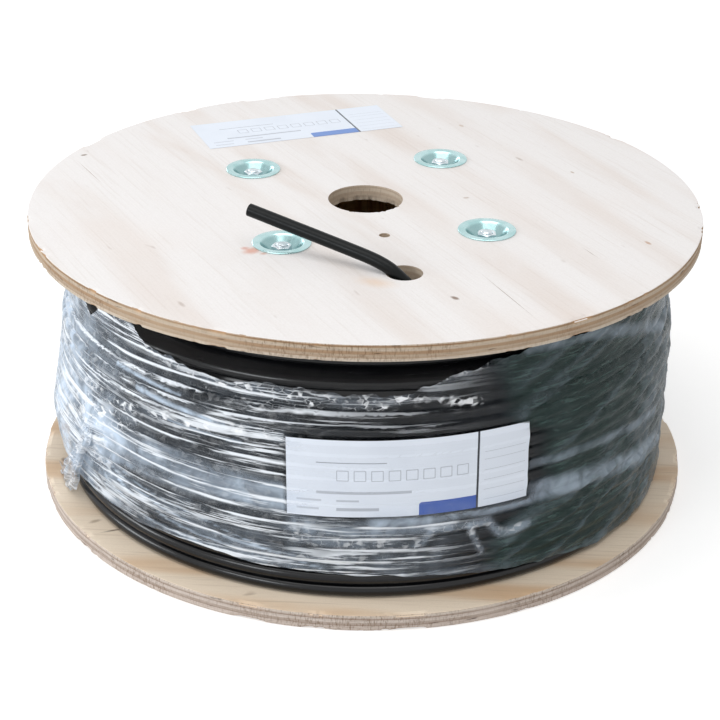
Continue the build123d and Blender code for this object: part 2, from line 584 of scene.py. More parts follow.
@dataclass(frozen=True)
class PlywoodEdge:
    """The sawn edge of a sheet of plywood: plies lie along and across by turns."""

    name: str
    low: float
    high: float
    plies: tuple[tuple[float, Colour], ...]
    veneer: Colour
    torn_share: float
    # How much the walls of holes near the axis are lightened towards the pale wall colour: painted light, as
    # the holes get little lamp light.
    lit_walls_share: float = 0.5
    wall: Colour = ink(226, 210, 190)

    def material(self) -> Material:
        """Builds the shader.

        Returns:
            The edge's material.
        """
        graph = Graph(self.name)
        place = graph.coordinates()
        drift = graph.drawn_out(place, (14.0, 14.0, 40.0), 3.0, 0.6)
        level = graph.plus(graph.axis(place, "Z"), graph.times(drift, 1.8 * MM))
        share = graph.part_way(level, self.low + 0.9 * MM, self.high + 0.9 * MM)
        colour = graph.ramp(share, self.plies)
        fibres = graph.drawn_out(place, (60.0, 60.0, 1500.0), 3.0, 0.65)
        ends = graph.drawn_out(place, (900.0, 900.0, 260.0), 2.0, 0.6)
        colour = graph.tinted(colour, ink(128, 102, 78), fibres, 0.42, 0.75, 0.42)
        smudge = graph.noise(place, 9.0, 3.0, 0.6)
        rough = graph.times(graph.spread(ends, 0.46, 0.7), graph.spread(smudge, 0.56, 0.44, 0.18, 0.62))
        colour = graph.mix(rough, colour, ink(118, 92, 66))
        colour = graph.tinted(colour, self.veneer, smudge, 0.45, 0.7, 0.3)
        gaps = graph.drawn_out(place, (55.0, 55.0, 420.0), 2.0, 0.5)
        colour = graph.tinted(colour, ink(72, 54, 40), gaps, 0.68, 0.76, 0.85)
        torn = graph.times(graph.attribute("torn"), self.torn_share)
        colour = graph.mix(torn, colour, ink(196, 156, 118))
        # Painted light: the walls of holes near the axis are lightened towards the pale wall colour.
        inside = graph.spread(graph.from_axis(place), 0.22, 0.17, 0.0, self.lit_walls_share)
        colour = graph.mix(inside, colour, self.wall)
        height = graph.weighed(fibres, 0.6, ends, 0.4)
        return graph.surface(
            Base_Color=colour,
            Roughness=0.72,
            Specular_IOR_Level=0.2,
            Normal=graph.bump(height, 0.5 * MM, 0.7),
        )


@dataclass(frozen=True)
class SawnWood:
    """Rough-sawn softwood, its grain up the drum's axis."""

    name: str
    colour: Colour
    dark: Colour

    def material(self) -> Material:
        """Builds the shader.

        Returns:
            The wood's material.
        """
        graph = Graph(self.name)
        place = graph.coordinates()
        grain = graph.drawn_out(place, (160.0, 160.0, 6.0), 3.0, 0.6, 0.6)
        saw = graph.drawn_out(place, (8.0, 8.0, 700.0), 2.0, 0.5)
        colour = graph.mix(graph.spread(grain, 0.35, 0.7), self.colour, self.dark)
        return graph.surface(Base_Color=colour, Roughness=0.8, Normal=graph.bump(saw, 0.4 * MM, 0.5))


@dataclass(frozen=True)
class ZincPlate:
    """Bright zinc plate with a blue-green cast, clouded and a little scratched, with painted shade down in a
    washer's dish where a dish colour is given.
    """

    name: str
    bright: Colour
    cast: Colour
    roughness: float
    grimy: float = 0.3
    shaded_dish: Colour | None = None
    lip_level: float = 0.0

    def material(self) -> Material:
        """Builds the shader.

        Returns:
            The plate's material.
        """
        graph = Graph(self.name)
        place = graph.coordinates()
        clouds = graph.noise(place, 90.0, 3.0, 0.6, 0.5)
        grime = graph.noise(place, 420.0, 3.0, 0.7)
        colour = graph.mix(graph.spread(clouds, 0.35, 0.7), self.bright, self.cast)
        colour = graph.tinted(colour, ink(92, 104, 100), grime, 0.62, 0.8, self.grimy)
        # Painted shade: below the lip the colour darkens towards the dish colour.
        if self.shaded_dish is not None:
            level = graph.axis(place, "Z")
            sunk = graph.spread(level, self.lip_level - 0.4 * MM, self.lip_level - 2.5 * MM, 0.0, 0.8)
            colour = graph.mix(sunk, colour, self.shaded_dish)
        return graph.surface(
            Base_Color=colour,
            Metallic=1.0,
            Roughness=graph.spread(grime, 0.3, 0.8, self.roughness, self.roughness + 0.2),
            Normal=graph.bump(clouds, 0.12 * MM, 0.3),
        )


@dataclass(frozen=True)
class CableSheath:
    """Smooth black polyethylene with faint drawing lines, dust and scuffs."""

    name: str
    black: Colour
    roughness: float = 0.16
    gloss: float = 0.42

    def material(self) -> Material:
        """Builds the shader.

        Returns:
            The sheath's material.
        """
        graph = Graph(self.name)
        place = graph.coordinates()
        dust = graph.noise(place, 38.0, 4.0, 0.65)
        scuffs = graph.drawn_out(place, (50.0, 50.0, 900.0), 3.0, 0.6)
        colour = graph.mix(graph.spread(dust, 0.55, 0.8, 0.0, 0.06), self.black, ink(96, 92, 88))
        return graph.surface(
            Base_Color=colour,
            Roughness=graph.spread(scuffs, 0.35, 0.75, self.roughness, self.roughness + 0.12),
            Specular_IOR_Level=self.gloss,
            Normal=graph.bump(scuffs, 0.05 * MM, 0.3),
        )


@dataclass(frozen=True)
class StretchFilm:
    """Clear stretch film: glossy and hardly seen where it lies flat, and white where it creases.

    Four numbers kept at each vertex say where it is milky, with painted reflection of the white
    surroundings where it is seen edge-on at the silhouettes; where painted highlights run in lines
    along the turns; where painted glints of crumpled facets show; and where fine slanting creases
    cross it under a painted dark green reflection of the room.
    """

    name: str
    winding_low: float
    pitch: float
    clear: Colour = (0.006, 0.007, 0.008, 1.0)
    thin: float = 0.2
    thinnest: float = 0.03

    def material(self) -> Material:
        """Builds the shader, one layer of film's look over another.

        Returns:
            The film's material.
        """
        graph = Graph(self.name)
        wrap = graph.unwrapped("wrap")
        haze, weave = graph.attribute("haze"), graph.attribute("weave")
        streaks, crumple = graph.attribute("streaks"), graph.attribute("crumple")
        cloud = graph.spread(graph.noise(wrap, 42.0, 3.0, 0.6, 0.8), 0.3, 0.7, 0.35, 1.0)
        slant = graph.drawn_out(wrap, (42.0, 400.0, 1.0), 4.0, 0.62, 0.8, turn=-22.0)
        cross = graph.drawn_out(wrap, (30.0, 300.0, 1.0), 3.0, 0.6, 0.8, turn=-38.0)
        pale = graph.larger(graph.spread(slant, 0.5, 0.72), graph.spread(cross, 0.56, 0.74, 0.0, 0.8))
        lines = self.lines(graph, wrap)
        glints = self.glints(graph, wrap)
        over_dark = graph.spread(graph.attribute("over_label"), 0.0, 1.0, self.thin, self.thinnest)
        look: tuple[Value, Value] = (self.clear, over_dark)
        for colour, opacity in (
            # Painted reflection: a dark green tint over the slanting creases stands in for a darker greenish
            # room seen in the film.
            (ink(17, 43, 38), graph.times(weave, 0.8)),
            (ink(98, 124, 118), graph.times(graph.times(weave, pale), 0.4)),
            # Milky film, and at the silhouettes painted reflection of the white surroundings.
            (ink(206, 222, 240), graph.times(haze, cloud)),
            # Painted highlights: near-white lines along the turns.
            (ink(244, 249, 255), graph.times(streaks, lines)),
            # Painted glints: near-white facets of the crumpled film.
            (ink(250, 252, 255), graph.times(crumple, glints)),
        ):
            look = self.lay(graph, look, colour, opacity)
        colour, opacity = look
        height = graph.weighed(lines, 0.5, slant, 0.5)
        return graph.surface(
            Base_Color=colour,
            Alpha=opacity,
            Roughness=0.18,
            IOR=1.33,
            Normal=graph.bump(height, 0.7 * MM, 0.5),
        )

    @staticmethod
    def lay(graph: Graph, look: tuple[Value, Value], colour: Colour, opacity: Value) -> tuple[Value, Value]:
        """Lays a colour over a look, which is a colour and how opaque it is.

        Args:
            graph: the film's shader tree.
            look: what lies below.
            colour: what is laid over it.
            opacity: how opaque that is.

        Returns:
            Both together, as a look.
        """
        below, under = look
        both = graph.sum(Sum.REST, graph.plus(under, opacity), graph.times(under, opacity))
        return graph.mix(graph.sum(Sum.RATIO, opacity, both), below, colour), both

    def lines(self, graph: Graph, wrap: Socket) -> Socket:
        """Painted highlights: bright lines on the upper side of each turn, broken up along it, and finer
        hairs.

        Args:
            graph: the film's shader tree.
            wrap: the place on the film's map.

        Returns:
            How bright the lines are there.
        """
        level = graph.sum(Sum.REST, graph.axis(wrap, "Y"), self.winding_low)
        drift = graph.drawn_out(wrap, (9.0, 40.0, 1.0), 2.0, 0.5)
        turn = graph.plus(graph.sum(Sum.RATIO, level, self.pitch), graph.times(drift, 0.9))
        phase = graph.sum(Sum.FRACTION, turn)
        off = graph.sum(Sum.SIZE, graph.sum(Sum.REST, phase, 0.5))
        ridge = graph.spread(off, 0.05, 0.2, 1.0, 0.0)
        gaps = graph.drawn_out(wrap, (13.0, 230.0, 1.0), 3.0, 0.6)
        ridge = graph.times(ridge, graph.spread(gaps, 0.45, 0.54))
        hair = graph.drawn_out(wrap, (17.0, 430.0, 1.0), 4.0, 0.62, 0.3, turn=-1.5)
        veil = graph.drawn_out(wrap, (11.0, 170.0, 1.0), 4.0, 0.6, 0.4, turn=-2.5)
        hair, veil = graph.spread(hair, 0.54, 0.62, 0.0, 0.9), graph.spread(veil, 0.55, 0.63, 0.0, 0.85)
        fine = graph.larger(hair, veil)
        patches = graph.drawn_out(wrap, (7.0, 34.0, 1.0), 2.0, 0.5, 0.6, turn=-4.0)
        fine = graph.times(fine, graph.spread(patches, 0.44, 0.55, 0.06, 1.0))
        return graph.larger(ridge, fine)

    @staticmethod
    def glints(graph: Graph, wrap: Socket) -> Socket:
        """Painted glints: small bright facets and thin creases between them.

        Args:
            graph: the film's shader tree.
            wrap: the place on the film's map.

        Returns:
            How bright they are there.
        """
        bent = graph.noise(wrap, 130.0, 2.0, 0.5)
        flat = graph.mapped(wrap, scale=(0.55, 1.0, 1.0), turn=-12.0)
        bright = graph.spread(graph.cells(flat, 330.0, Cells.NUMBER), 0.68, 0.84)
        crease = graph.spread(graph.cells(flat, 330.0, Cells.BORDER), 0.0, 0.07, 0.8, 0.0)
        rough = graph.spread(bent, 0.42, 0.62)
        return graph.times(graph.larger(bright, crease), rough)


@dataclass(frozen=True)
class Block:
    """A printed rectangle on a label, in shares of its width and height from its lower left."""

    left: float
    low: float
    right: float
    high: float
    colour: Colour
    corner: float = 0.0
    strength: float = 1.0


@dataclass(frozen=True)
class PrintedPaper:
    """White label paper with plain printed blocks, on the piece's own UV map in metres."""

    name: str
    width: float
    height: float
    paper: Colour
    blocks: tuple[Block, ...]
    roughness: float = 0.45

    def material(self) -> Material:
        """Builds the shader, with each block laid over the ones before it.

        Returns:
            The label's material.
        """
        graph = Graph(self.name)
        sheet = graph.unwrapped("sheet")
        fibres = graph.noise(sheet, 700.0, 3.0, 0.6)
        cloud = graph.noise(sheet, 30.0, 2.0, 0.5)
        colour = graph.mix(graph.spread(cloud, 0.4, 0.7, 0.0, 0.1), self.paper, ink(196, 204, 218))
        for block in self.blocks:
            colour = self.printed(graph, sheet, colour, block)
        return graph.surface(
            Base_Color=colour,
            Roughness=self.roughness,
            Specular_IOR_Level=0.4,
            Normal=graph.bump(fibres, 0.05 * MM, 0.3),
        )

    def printed(self, graph: Graph, sheet: Socket, colour: Value, block: Block) -> Socket:
        """Lays one block over the colour.

        Args:
            graph: the paper's shader tree.
            sheet: the place on the label.
            colour: the colour so far.
            block: what is printed over it.

        Returns:
            The colour with the block.
        """
        across, up = (block.left + block.right) / 2, (block.low + block.high) / 2
        centre = (across * self.width, up * self.height, 0.0)
        inset = max(block.corner, 0.02 * MM)
        half = (
            (block.right - block.left) / 2 * self.width - inset,
            (block.high - block.low) / 2 * self.height - inset,
            1.0,
        )
        local = graph.vector(Sum.SIZE, graph.vector(Sum.REST, sheet, centre))
        beyond = graph.vector(Sum.LARGER, graph.vector(Sum.REST, local, half), (0, 0, 0))
        distance = graph.vector(Sum.LENGTH, beyond)
        share = graph.times(graph.sum(Sum.LESS, distance, inset), block.strength)
        return graph.mix(share, colour, block.colour)


def deselect() -> None:
    """Leaves nothing selected, so that the next operator acts on its own piece alone."""
    for piece in bpy.context.selected_objects:
        piece.select_set(False)


def pick(piece: Piece) -> None:
    """Selects one piece and makes it active."""
    deselect()
    piece.select_set(True)
    bpy.context.view_layer.objects.active = piece


@contextmanager
def editing(piece: Piece, all_selected: bool = True) -> Iterator[None]:
    """Edit mode on one piece, with everything or nothing of it selected.

    Args:
        piece: the piece.
        all_selected: whether all of it is selected.
    """
    pick(piece)
    bpy.ops.object.mode_set(mode="EDIT")
    bpy.ops.mesh.select_all(action="SELECT" if all_selected else "DESELECT")
    try:
        yield
    finally:
        bpy.ops.object.mode_set(mode="OBJECT")


def settle(piece: Piece) -> Piece:
    """Puts a piece's place into its mesh, so that its object sits at the origin.

    Args:
        piece: the piece.

    Returns:
        The same piece.
    """
    pick(piece)
    bpy.ops.object.transform_apply(location=True, rotation=True, scale=True)
    return piece


def apply_modifiers(piece: Piece) -> Piece:
    """Applies every modifier of a piece in turn.

    Args:
        piece: the piece.

    Returns:
        The same piece.
    """
    pick(piece)
    for modifier in list(piece.modifiers):
        bpy.ops.object.modifier_apply(modifier=modifier.name)
    return piece


def outline_piece(name: str, points: Sequence[Point], closed: bool) -> Piece:
    """A bare outline in the XZ plane.

    Args:
        name: the piece's name.
        points: (radius, height) pairs.
        closed: whether the last point joins the first.

    Returns:
        The piece, which has edges and no faces yet.
    """
    mesh = bpy.data.meshes.new(name)
    edges = [(i, i + 1) for i in range(len(points) - 1)]
    if closed:
        edges.append((len(points) - 1, 0))
    mesh.from_pydata([(radius, 0.0, height) for radius, height in points], edges, [])
    piece = bpy.data.objects.new(name, mesh)
    bpy.context.scene.collection.objects.link(piece)
    return piece


def turn_on_lathe(
    name: str, points: Sequence[Point], steps: int, closed: bool = True, centre: Point = (0, 0)
) -> Piece:
    """Spins an outline a whole turn about an upright axis.

    Args:
        name: the piece's name.
        points: (radius, height) pairs, the radius from that axis.
        steps: how many faces go round.
        closed: whether the outline closes on itself.
        centre: where the axis stands.

    Returns:
        The turned piece, its faces pointing outwards.
    """
    piece = outline_piece(name, points, closed)
    with editing(piece):
        bpy.ops.mesh.spin(
            steps=steps, angle=WHOLE_TURN, center=(0, 0, 0), axis=(0, 0, 1), use_auto_merge=False
        )
        bpy.ops.mesh.select_all(action="SELECT")
        bpy.ops.mesh.remove_doubles(threshold=0.001 * MM)
        bpy.ops.mesh.normals_make_consistent(inside=False)
    piece.data.transform(Matrix.Translation((centre[0], centre[1], 0)))
    return piece


def cut(piece: Piece, cutter: Piece, keep: Keep = Keep.OUTSIDE) -> None:
    """Cuts a piece with another and throws the cutter away.

    Args:
        piece: what is cut.
        cutter: what cuts it.
        keep: which part stays.
    """
    modifier = piece.modifiers.new("cut", "BOOLEAN")
    modifier.operation = keep.value
    modifier.solver = "EXACT"
    modifier.object = cutter
    apply_modifiers(piece)
    bpy.data.objects.remove(cutter)


def drill(piece: Piece, cutters: Sequence[Piece]) -> None:
    """Cuts a piece with several cutters that lie apart from one another.

    Args:
        piece: what is cut.
        cutters: what cuts it, all used up.
    """
    pick(cutters[0])
    for cutter in cutters:
        cutter.select_set(True)
    bpy.ops.object.join()
    cut(piece, bpy.context.active_object)


def round_bar(
    radius: float, low: float, high: float, centre: Point = (0, 0), sides: int = 64
) -> Piece:
    """A round bar standing between two heights.

    Args:
        radius: its radius, or its corners' where it has few sides.
        low: where it starts.
        high: where it ends.
        centre: where it stands.
        sides: how many faces go round.

    Returns:
        The bar.
    """
    deselect()
    bpy.ops.mesh.primitive_cylinder_add(
        vertices=sides,
        radius=radius,
        depth=high - low,
        location=(centre[0], centre[1], (low + high) / 2),
    )
    return settle(bpy.context.active_object)


def soften_edges(piece: Piece, width: float, segments: int, angle: float) -> None:
    """Bevels the edges of a piece that are sharper than an angle in degrees.

    Args:
        piece: the piece.
        width: how wide the bevel is.
        segments: how many faces it has.
        angle: that angle.
    """
    modifier = piece.modifiers.new("soft edges", "BEVEL")
    modifier.width = width
    modifier.segments = segments
    modifier.limit_method = "ANGLE"
    modifier.angle_limit = math.radians(angle)
    modifier.harden_normals = False
    apply_modifiers(piece)


def shade(piece: Piece, angle: float) -> None:
    """Shades a piece smooth, apart from edges sharper than an angle in degrees."""
    pick(piece)
    bpy.ops.object.shade_smooth_by_angle(angle=math.radians(angle))


def copies(piece: Piece, places: Iterable[Matrix], name: str) -> Piece:
    """Copies a piece to several places, each with its own mesh, and joins them into one.

    Args:
        piece: the first, which is used up.
        places: where each copy goes.
        name: the joined piece's name.

    Returns:
        The joined piece.
    """
    made = []
    for place in places:
        copy = piece.copy()
        copy.data = piece.data.copy()
        copy.data.transform(place)
        bpy.context.scene.collection.objects.link(copy)
        made.append(copy)
    bpy.data.objects.remove(piece)
    pick(made[0])
    for copy in made:
        copy.select_set(True)
    bpy.ops.object.join()
    joined = bpy.context.active_object
    joined.name = joined.data.name = name
    return joined


def dress(piece: Piece, materials: Sequence[Material], slot: Slot, *nodes: str) -> Piece:
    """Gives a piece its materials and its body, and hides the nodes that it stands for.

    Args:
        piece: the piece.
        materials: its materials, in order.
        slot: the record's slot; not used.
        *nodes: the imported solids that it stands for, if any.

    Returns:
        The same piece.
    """
    piece.data.materials.clear()
    for material in materials:
        piece.data.materials.append(material)
    if nodes:
        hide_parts(*nodes)
    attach(piece, BODY)
    log.info("%s: %d faces", piece.name, len(getattr(piece.data, "polygons", [])))
    return piece


def grid_piece(
    name: str, columns: int, rows: int, point: Callable[[float, float], Vector]
) -> Piece:
    """A sheet of quads whose points a function gives.

    Args:
        name: the piece's name.
        columns: how many faces it has along.
        rows: how many faces it has up.
        point: gives a place from shares of the way along and up.

    Returns:
        The sheet, one face for each column and row.
    """
    deselect()
    bpy.ops.mesh.primitive_grid_add(x_subdivisions=columns, y_subdivisions=rows, size=1.0)
    piece = bpy.context.active_object
    piece.name = piece.data.name = name
    for vertex in piece.data.vertices:
        vertex.co = point(vertex.co.x + 0.5, vertex.co.y + 0.5)
    return piece


def lay_out(piece: Piece, name: str, read: Callable[[Vector], Point]) -> None:
    """Gives a piece a UV map that is read from its points.

    Args:
        piece: the piece.
        name: the map's name.
        read: gives a point's place on the map, in metres.
    """
    layer = piece.data.uv_layers.new(name=name)
    vertices = piece.data.vertices
    for polygon in piece.data.polygons:
        for corner in polygon.loop_indices:
            layer.data[corner].uv = read(vertices[piece.data.loops[corner].vertex_index].co)


@dataclass
class Flanges:
    """Both flanges: rounds of plywood with sawn, chipped rims and drilled holes."""

    steps: int = 720
    top_seed: int = 3
    bottom_seed: int = 8
    smooth_angle: float = 35.0
    level_normal: float = 0.8
    ply_depth: float = 0.22 * MM
    edge_round: float = 0.5 * MM
    chip_depth: float = 1.5 * MM
    rim_zone: float = 3 * MM
    wander_depth: float = 0.25 * MM
    saw_depth: float = 0.12 * MM
    tear_low: float = 2.0 * MM
    tear_top: float = 2.6 * MM
    edge_ring: float = 4 * MM
    rim_rows: int = 15
    wall_rows: int = 8
    ply_joints: tuple[float, ...] = (0.1, 0.3, 0.5, 0.7, 0.9)
    rod_circle: float = field(init=False)
    seat_radius: float = 17.0 * MM
    drive_radius: float = 4.0 * MM
    drive_offset: float = 72.0 * MM
    start_radius: float = 13.0 * MM
    start_offset: float = 139.6 * MM
    arbour_radius: float = 28.0 * MM
    head_recess: float = 10.4 * MM
    head_sink: float = 5.2 * MM
    rod_hole: float = 4.3 * MM

    def __post_init__(self) -> None:
        """Reads the rods' circle from the frame."""
        low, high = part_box("cup_washers")
        self.rod_circle = math.sqrt(2) * ((high.x - low.x) / 2 - LIP_RADIUS)

    def rod_centres(self) -> list[Point]:
        """Where the four rods stand.

        Returns:
            Their centres, the first one at +X +Y, and round from there.
        """
        angles = [math.radians(45 + 90 * i) for i in range(4)]
        return [(self.rod_circle * math.cos(a), self.rod_circle * math.sin(a)) for a in angles]

    def outline(self, low: float, high: float, radius: float) -> list[Point]:
        """A flange's section: its rim steps in a little at every other ply.

        Args:
            low: its underside.
            high: its face.
            radius: its rim's radius.

        Returns:
            (radius, height) pairs, up the rim and back down the arbour hole's wall.
        """
        soft = self.edge_round
        thickness = high - low
        rim = [(radius - soft, low), (radius - 0.3 * soft, low + 0.3 * soft)]
        for step in range(self.rim_rows):
            share = (step + 0.5) / self.rim_rows
            ply = sum(share > joint for joint in self.ply_joints)
            inset = self.ply_depth if ply % 2 else 0.0
            rim.append((radius - inset, low + thickness * (0.04 + 0.92 * share)))
        rim += [(radius - 0.3 * soft, high - 0.3 * soft), (radius - soft, high)]
        inner = [radius - self.edge_ring, self.arbour_radius + self.edge_ring]
        rows = self.wall_rows
        wall = [(self.arbour_radius, high - thickness * i / rows) for i in range(rows + 1)]
        return [*rim, *((x, high) for x in inner), *wall, *((x, low) for x in reversed(inner))]

    def roughen(self, piece: Piece, low: float, high: float, radius: float, seed: int) -> None:
        """Chips the rim's corners, lets the saw wander and tears the arbour hole's lower edge.

        Args:
            piece: the flange.
            low: its underside.
            high: its face.
            radius: its rim's radius.
            seed: what makes its chips its own.
        """
        torn = piece.data.attributes.new("torn", "FLOAT", "POINT")
        for vertex in piece.data.vertices:
            co = vertex.co
            reach = math.hypot(co.x, co.y)
            if reach < 1e-6:
                continue
            out = Vector((co.x / reach, co.y / reach, 0.0))
            share = (co.z - low) / (high - low)
            if reach > radius - self.rim_zone:
                wander = noise.noise(Vector((co.x * 9, co.y * 9, seed))) * self.wander_depth
                saw = noise.noise(Vector((co.x * 260, co.y * 260, co.z * 500 + seed))) * self.saw_depth
                corner = max(hill(share - 1.0, 0.1), hill(share, 0.08))
                bite = noise.noise(Vector((co.x * 34, co.y * 34, seed + 7.0)))
                fine = noise.noise(Vector((co.x * 210, co.y * 210, seed + 3.0)))
                chip = smooth(0.12, 0.5, bite + 0.45 * fine) * corner
                sink = abs(wander) + abs(saw) + chip * self.chip_depth
                vertex.co = co - out * sink
                vertex.co.z += chip * (-0.5 if share > 0.5 else 0.3) * self.chip_depth
                torn.data[vertex.index].value = min(1.0, 1.6 * chip)
            elif reach < self.arbour_radius + 1 * MM:
                tear = noise.noise(Vector((co.x * 300, co.y * 300, co.z * 90 + seed)))
                front = smooth(70, 25, abs(turned_from(math.degrees(math.atan2(co.y, co.x)), -90)))
                torn_low = smooth(0.3, 0.0, share) * self.tear_low
                torn_top = smooth(0.7, 1.0, share) * front * self.tear_top
                vertex.co = co + out * max(0.0, tear + 0.1) * (torn_low + torn_top)

    def board(self, name: str, node: str, seed: int) -> Piece:
        """One flange without its small holes.

        Args:
            name: the piece's name.
            node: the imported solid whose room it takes.
            seed: what makes its chips its own.

        Returns:
            The flange.
        """
        low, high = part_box(node)
        piece = turn_on_lathe(name, self.outline(low.z, high.z, high.x), self.steps)
        self.roughen(piece, low.z, high.z, high.x, seed)
        return piece

    def finish(self, piece: Piece) -> None:
        """Puts the second material, the sawn edge, on upright faces, and flattens the others.

        Args:
            piece: the flange, with both of its materials.
        """
        shade(piece, self.smooth_angle)
        for polygon in piece.data.polygons:
            level = abs(polygon.normal.z) > self.level_normal
            polygon.material_index = 0 if level else 1
            polygon.use_smooth = not level

    def build(self, finishes: "Finishes") -> None:
        """Makes both flanges.

        Args:
            finishes: the drum's materials.
        """
        low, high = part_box("top_flange")
        top = self.board("top_flange_board", "top_flange", self.top_seed)
        holes = [(self.seat_radius, centre) for centre in self.rod_centres()]
        holes.append((self.drive_radius, (0.0, -self.drive_offset)))
        holes.append((self.start_radius, (0.0, -self.start_offset)))
        drill(top, [round_bar(r, low.z - MM, high.z + MM, centre) for r, centre in holes])
        dress(top, [finishes.top_face, finishes.top_edge], Slot.PLYWOOD, "top_flange")
        self.finish(top)

        low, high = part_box("bottom_flange")
        bottom = self.board("bottom_flange_board", "bottom_flange", self.bottom_seed)
        step = low.z + self.head_sink
        counterbore = [
            (0.0, low.z - MM), (self.head_recess, low.z - MM), (self.head_recess, step),
            (self.rod_hole, step), (self.rod_hole, high.z + MM), (0.0, high.z + MM),
        ]
        centres = self.rod_centres()
        drill(bottom, [turn_on_lathe("counterbore", counterbore, 48, False, c) for c in centres])
        dress(bottom, [finishes.bottom_face, finishes.bottom_edge], Slot.PLYWOOD, "bottom_flange")
        self.finish(bottom)


@dataclass
class Fastenings:
    """The pressed cup washers, the nuts in them and the rods' threaded ends and heads."""

    centres: list[Point]
    seed: int = 11
    cup_sides: int = 96
    chamfer_sides: int = 72
    bore_sides: int = 48
    rod_sides: int = 40
    lip: float = LIP_RADIUS
    mouth: float = 15.7 * MM
    floor: float = 9.0 * MM
    hole: float = 4.3 * MM
    depth: float = 9.0 * MM
    sheet: float = 1.2 * MM
    nut_flats: float = 13.0 * MM
    nut_height: float = 6.5 * MM
    bore: float = 4.06 * MM
    bore_mouth: float = 4.9 * MM
    chamfer: float = 0.9 * MM
    rod_radius: float = 4.0 * MM
    thread_pitch: float = 1.25 * MM
    thread_depth: float = 0.6 * MM
    thread_length: float = 16.0 * MM
    head_radius: float = 10.0 * MM
    head_height: float = 4.4 * MM

    def cup(self, top: float) -> Piece:
        """One washer, its lip's face at that height, with pressed bends.

        Args:
            top: the height of its lip's face.

        Returns:
            The washer, on the drum's axis.
        """
        thick = self.sheet
        face = [
            (self.lip, -0.35 * thick),
            (self.lip - 0.25 * thick, -0.08 * thick),
            (self.lip - 0.7 * thick, 0.0),
            (self.mouth + 1.3 * MM, 0.0),
            (self.mouth + 0.5 * MM, -0.12 * MM),
            (self.mouth - 0.2 * MM, -0.62 * MM),
            (self.mouth - 0.8 * MM, -1.4 * MM),
            (self.floor + 0.9 * MM, -self.depth + 1.2 * MM),
            (self.floor + 0.2 * MM, -self.depth + 0.42 * MM),
            (self.floor - 0.6 * MM, -self.depth + 0.08 * MM),
            (self.floor - 1.4 * MM, -self.depth),
            (self.hole, -self.depth),
        ]
        back = [
            (self.hole, -self.depth - thick),
            (self.floor + 0.1 * MM, -self.depth - thick),
            (self.floor + 1.1 * MM, -self.depth - 0.5 * thick),
            (self.mouth + 0.6 * MM, -1.9 * thick),
            (self.mouth + 1.6 * MM, -thick),
            (self.lip - 0.4 * thick, -thick),
            (self.lip, -0.75 * thick),
        ]
        points = [(radius, height + top) for radius, height in [*face, *back]]
        return turn_on_lathe("cup", points, self.cup_sides)

    def nut(self, low: float) -> Piece:
        """One nut standing at that height, its corners chamfered by a turned barrel.

        Args:
            low: where it stands.

        Returns:
            The nut, on the drum's axis.
        """
        high = low + self.nut_height
        corners = self.nut_flats / math.sqrt(3)
        piece = round_bar(corners, low, high, sides=6)
        inner, outer, slope = 0.94 * self.nut_flats / 2, corners + 0.1 * MM, self.chamfer
        barrel = [
            (0.0, low), (inner, low), (outer, low + slope),
            (outer, high - slope), (inner, high), (0.0, high),
        ]
        cut(piece, turn_on_lathe("barrel", barrel, self.chamfer_sides, False), Keep.INSIDE)
        bore, mouth = self.bore, self.bore_mouth
        drilled = [
            (0.0, low - MM), (mouth, low - MM), (mouth, low), (bore, low + slope),
            (bore, high - slope), (mouth, high), (mouth, high + MM), (0.0, high + MM),
        ]
        cut(piece, turn_on_lathe("bore", drilled, self.bore_sides, False))
        soften_edges(piece, 0.18 * MM, 2, 40.0)
        return piece

    def rod(self, low: float, high: float) -> Piece:
        """One rod with its round head below and its thread above.

        Args:
            low: its head's underside.
            high: its top end.

        Returns:
            The rod, on the drum's axis.
        """
        head, stem, deep = self.head_radius, self.rod_radius, self.rod_radius - self.thread_depth
        outline = [
            (0.0, low),
            (head - 3.2 * MM, low + 0.25 * MM),
            (head - 1.4 * MM, low + 0.9 * MM),
            (head - 0.35 * MM, low + 2.0 * MM),
            (head, low + 3.1 * MM),
            (head, low + self.head_height),
            (stem, low + self.head_height),
            (stem, high - self.thread_length),
        ]
        height = high - self.thread_length
        while height + self.thread_pitch < high - 0.7 * MM:
            outline += [(deep, height + 0.5 * self.thread_pitch), (stem, height + self.thread_pitch)]
            height += self.thread_pitch
        outline += [(deep, high - 0.25 * MM), (deep - 0.5 * MM, high), (0.0, high)]
        return turn_on_lathe("rod", outline, self.rod_sides, False)

    def build(self, finishes: "Finishes") -> None:
        """Makes the washers, nuts and rods, the washers and nuts each turned its own way.

        Args:
            finishes: the drum's materials.
        """
        draw = random.Random(self.seed)
        lip_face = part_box("cup_washers")[1].z
        spots = [Matrix.Translation((x, y, 0)) for x, y in self.centres]
        turns = [Matrix.Rotation(draw.uniform(0, WHOLE_TURN), 4, "Z") for _ in spots]
        placed = [spot @ turn for spot, turn in zip(spots, turns)]
        cups = copies(self.cup(lip_face), placed, "pressed_cup_washers")
        shade(cups, 40.0)
        dress(cups, [finishes.zinc], Slot.ZINC_PLATE, "cup_washers")
        nuts = copies(self.nut(lip_face - self.depth), placed, "chamfered_nuts")
        shade(nuts, 25.0)
        dress(nuts, [finishes.bright_nut], Slot.ZINC_PLATE, "hex_nuts")
        for number, (x, y) in enumerate(self.centres, 1):
            low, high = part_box(f"tie_rod_{number}")
            rod = self.rod(low.z, high.z)
            rod.data.transform(Matrix.Translation((x, y, 0)))
            rod.name = rod.data.name = f"threaded_rod_{number}"
            shade(rod, 40.0)
            dress(rod, [finishes.bright_nut], Slot.ZINC_PLATE, f"tie_rod_{number}")


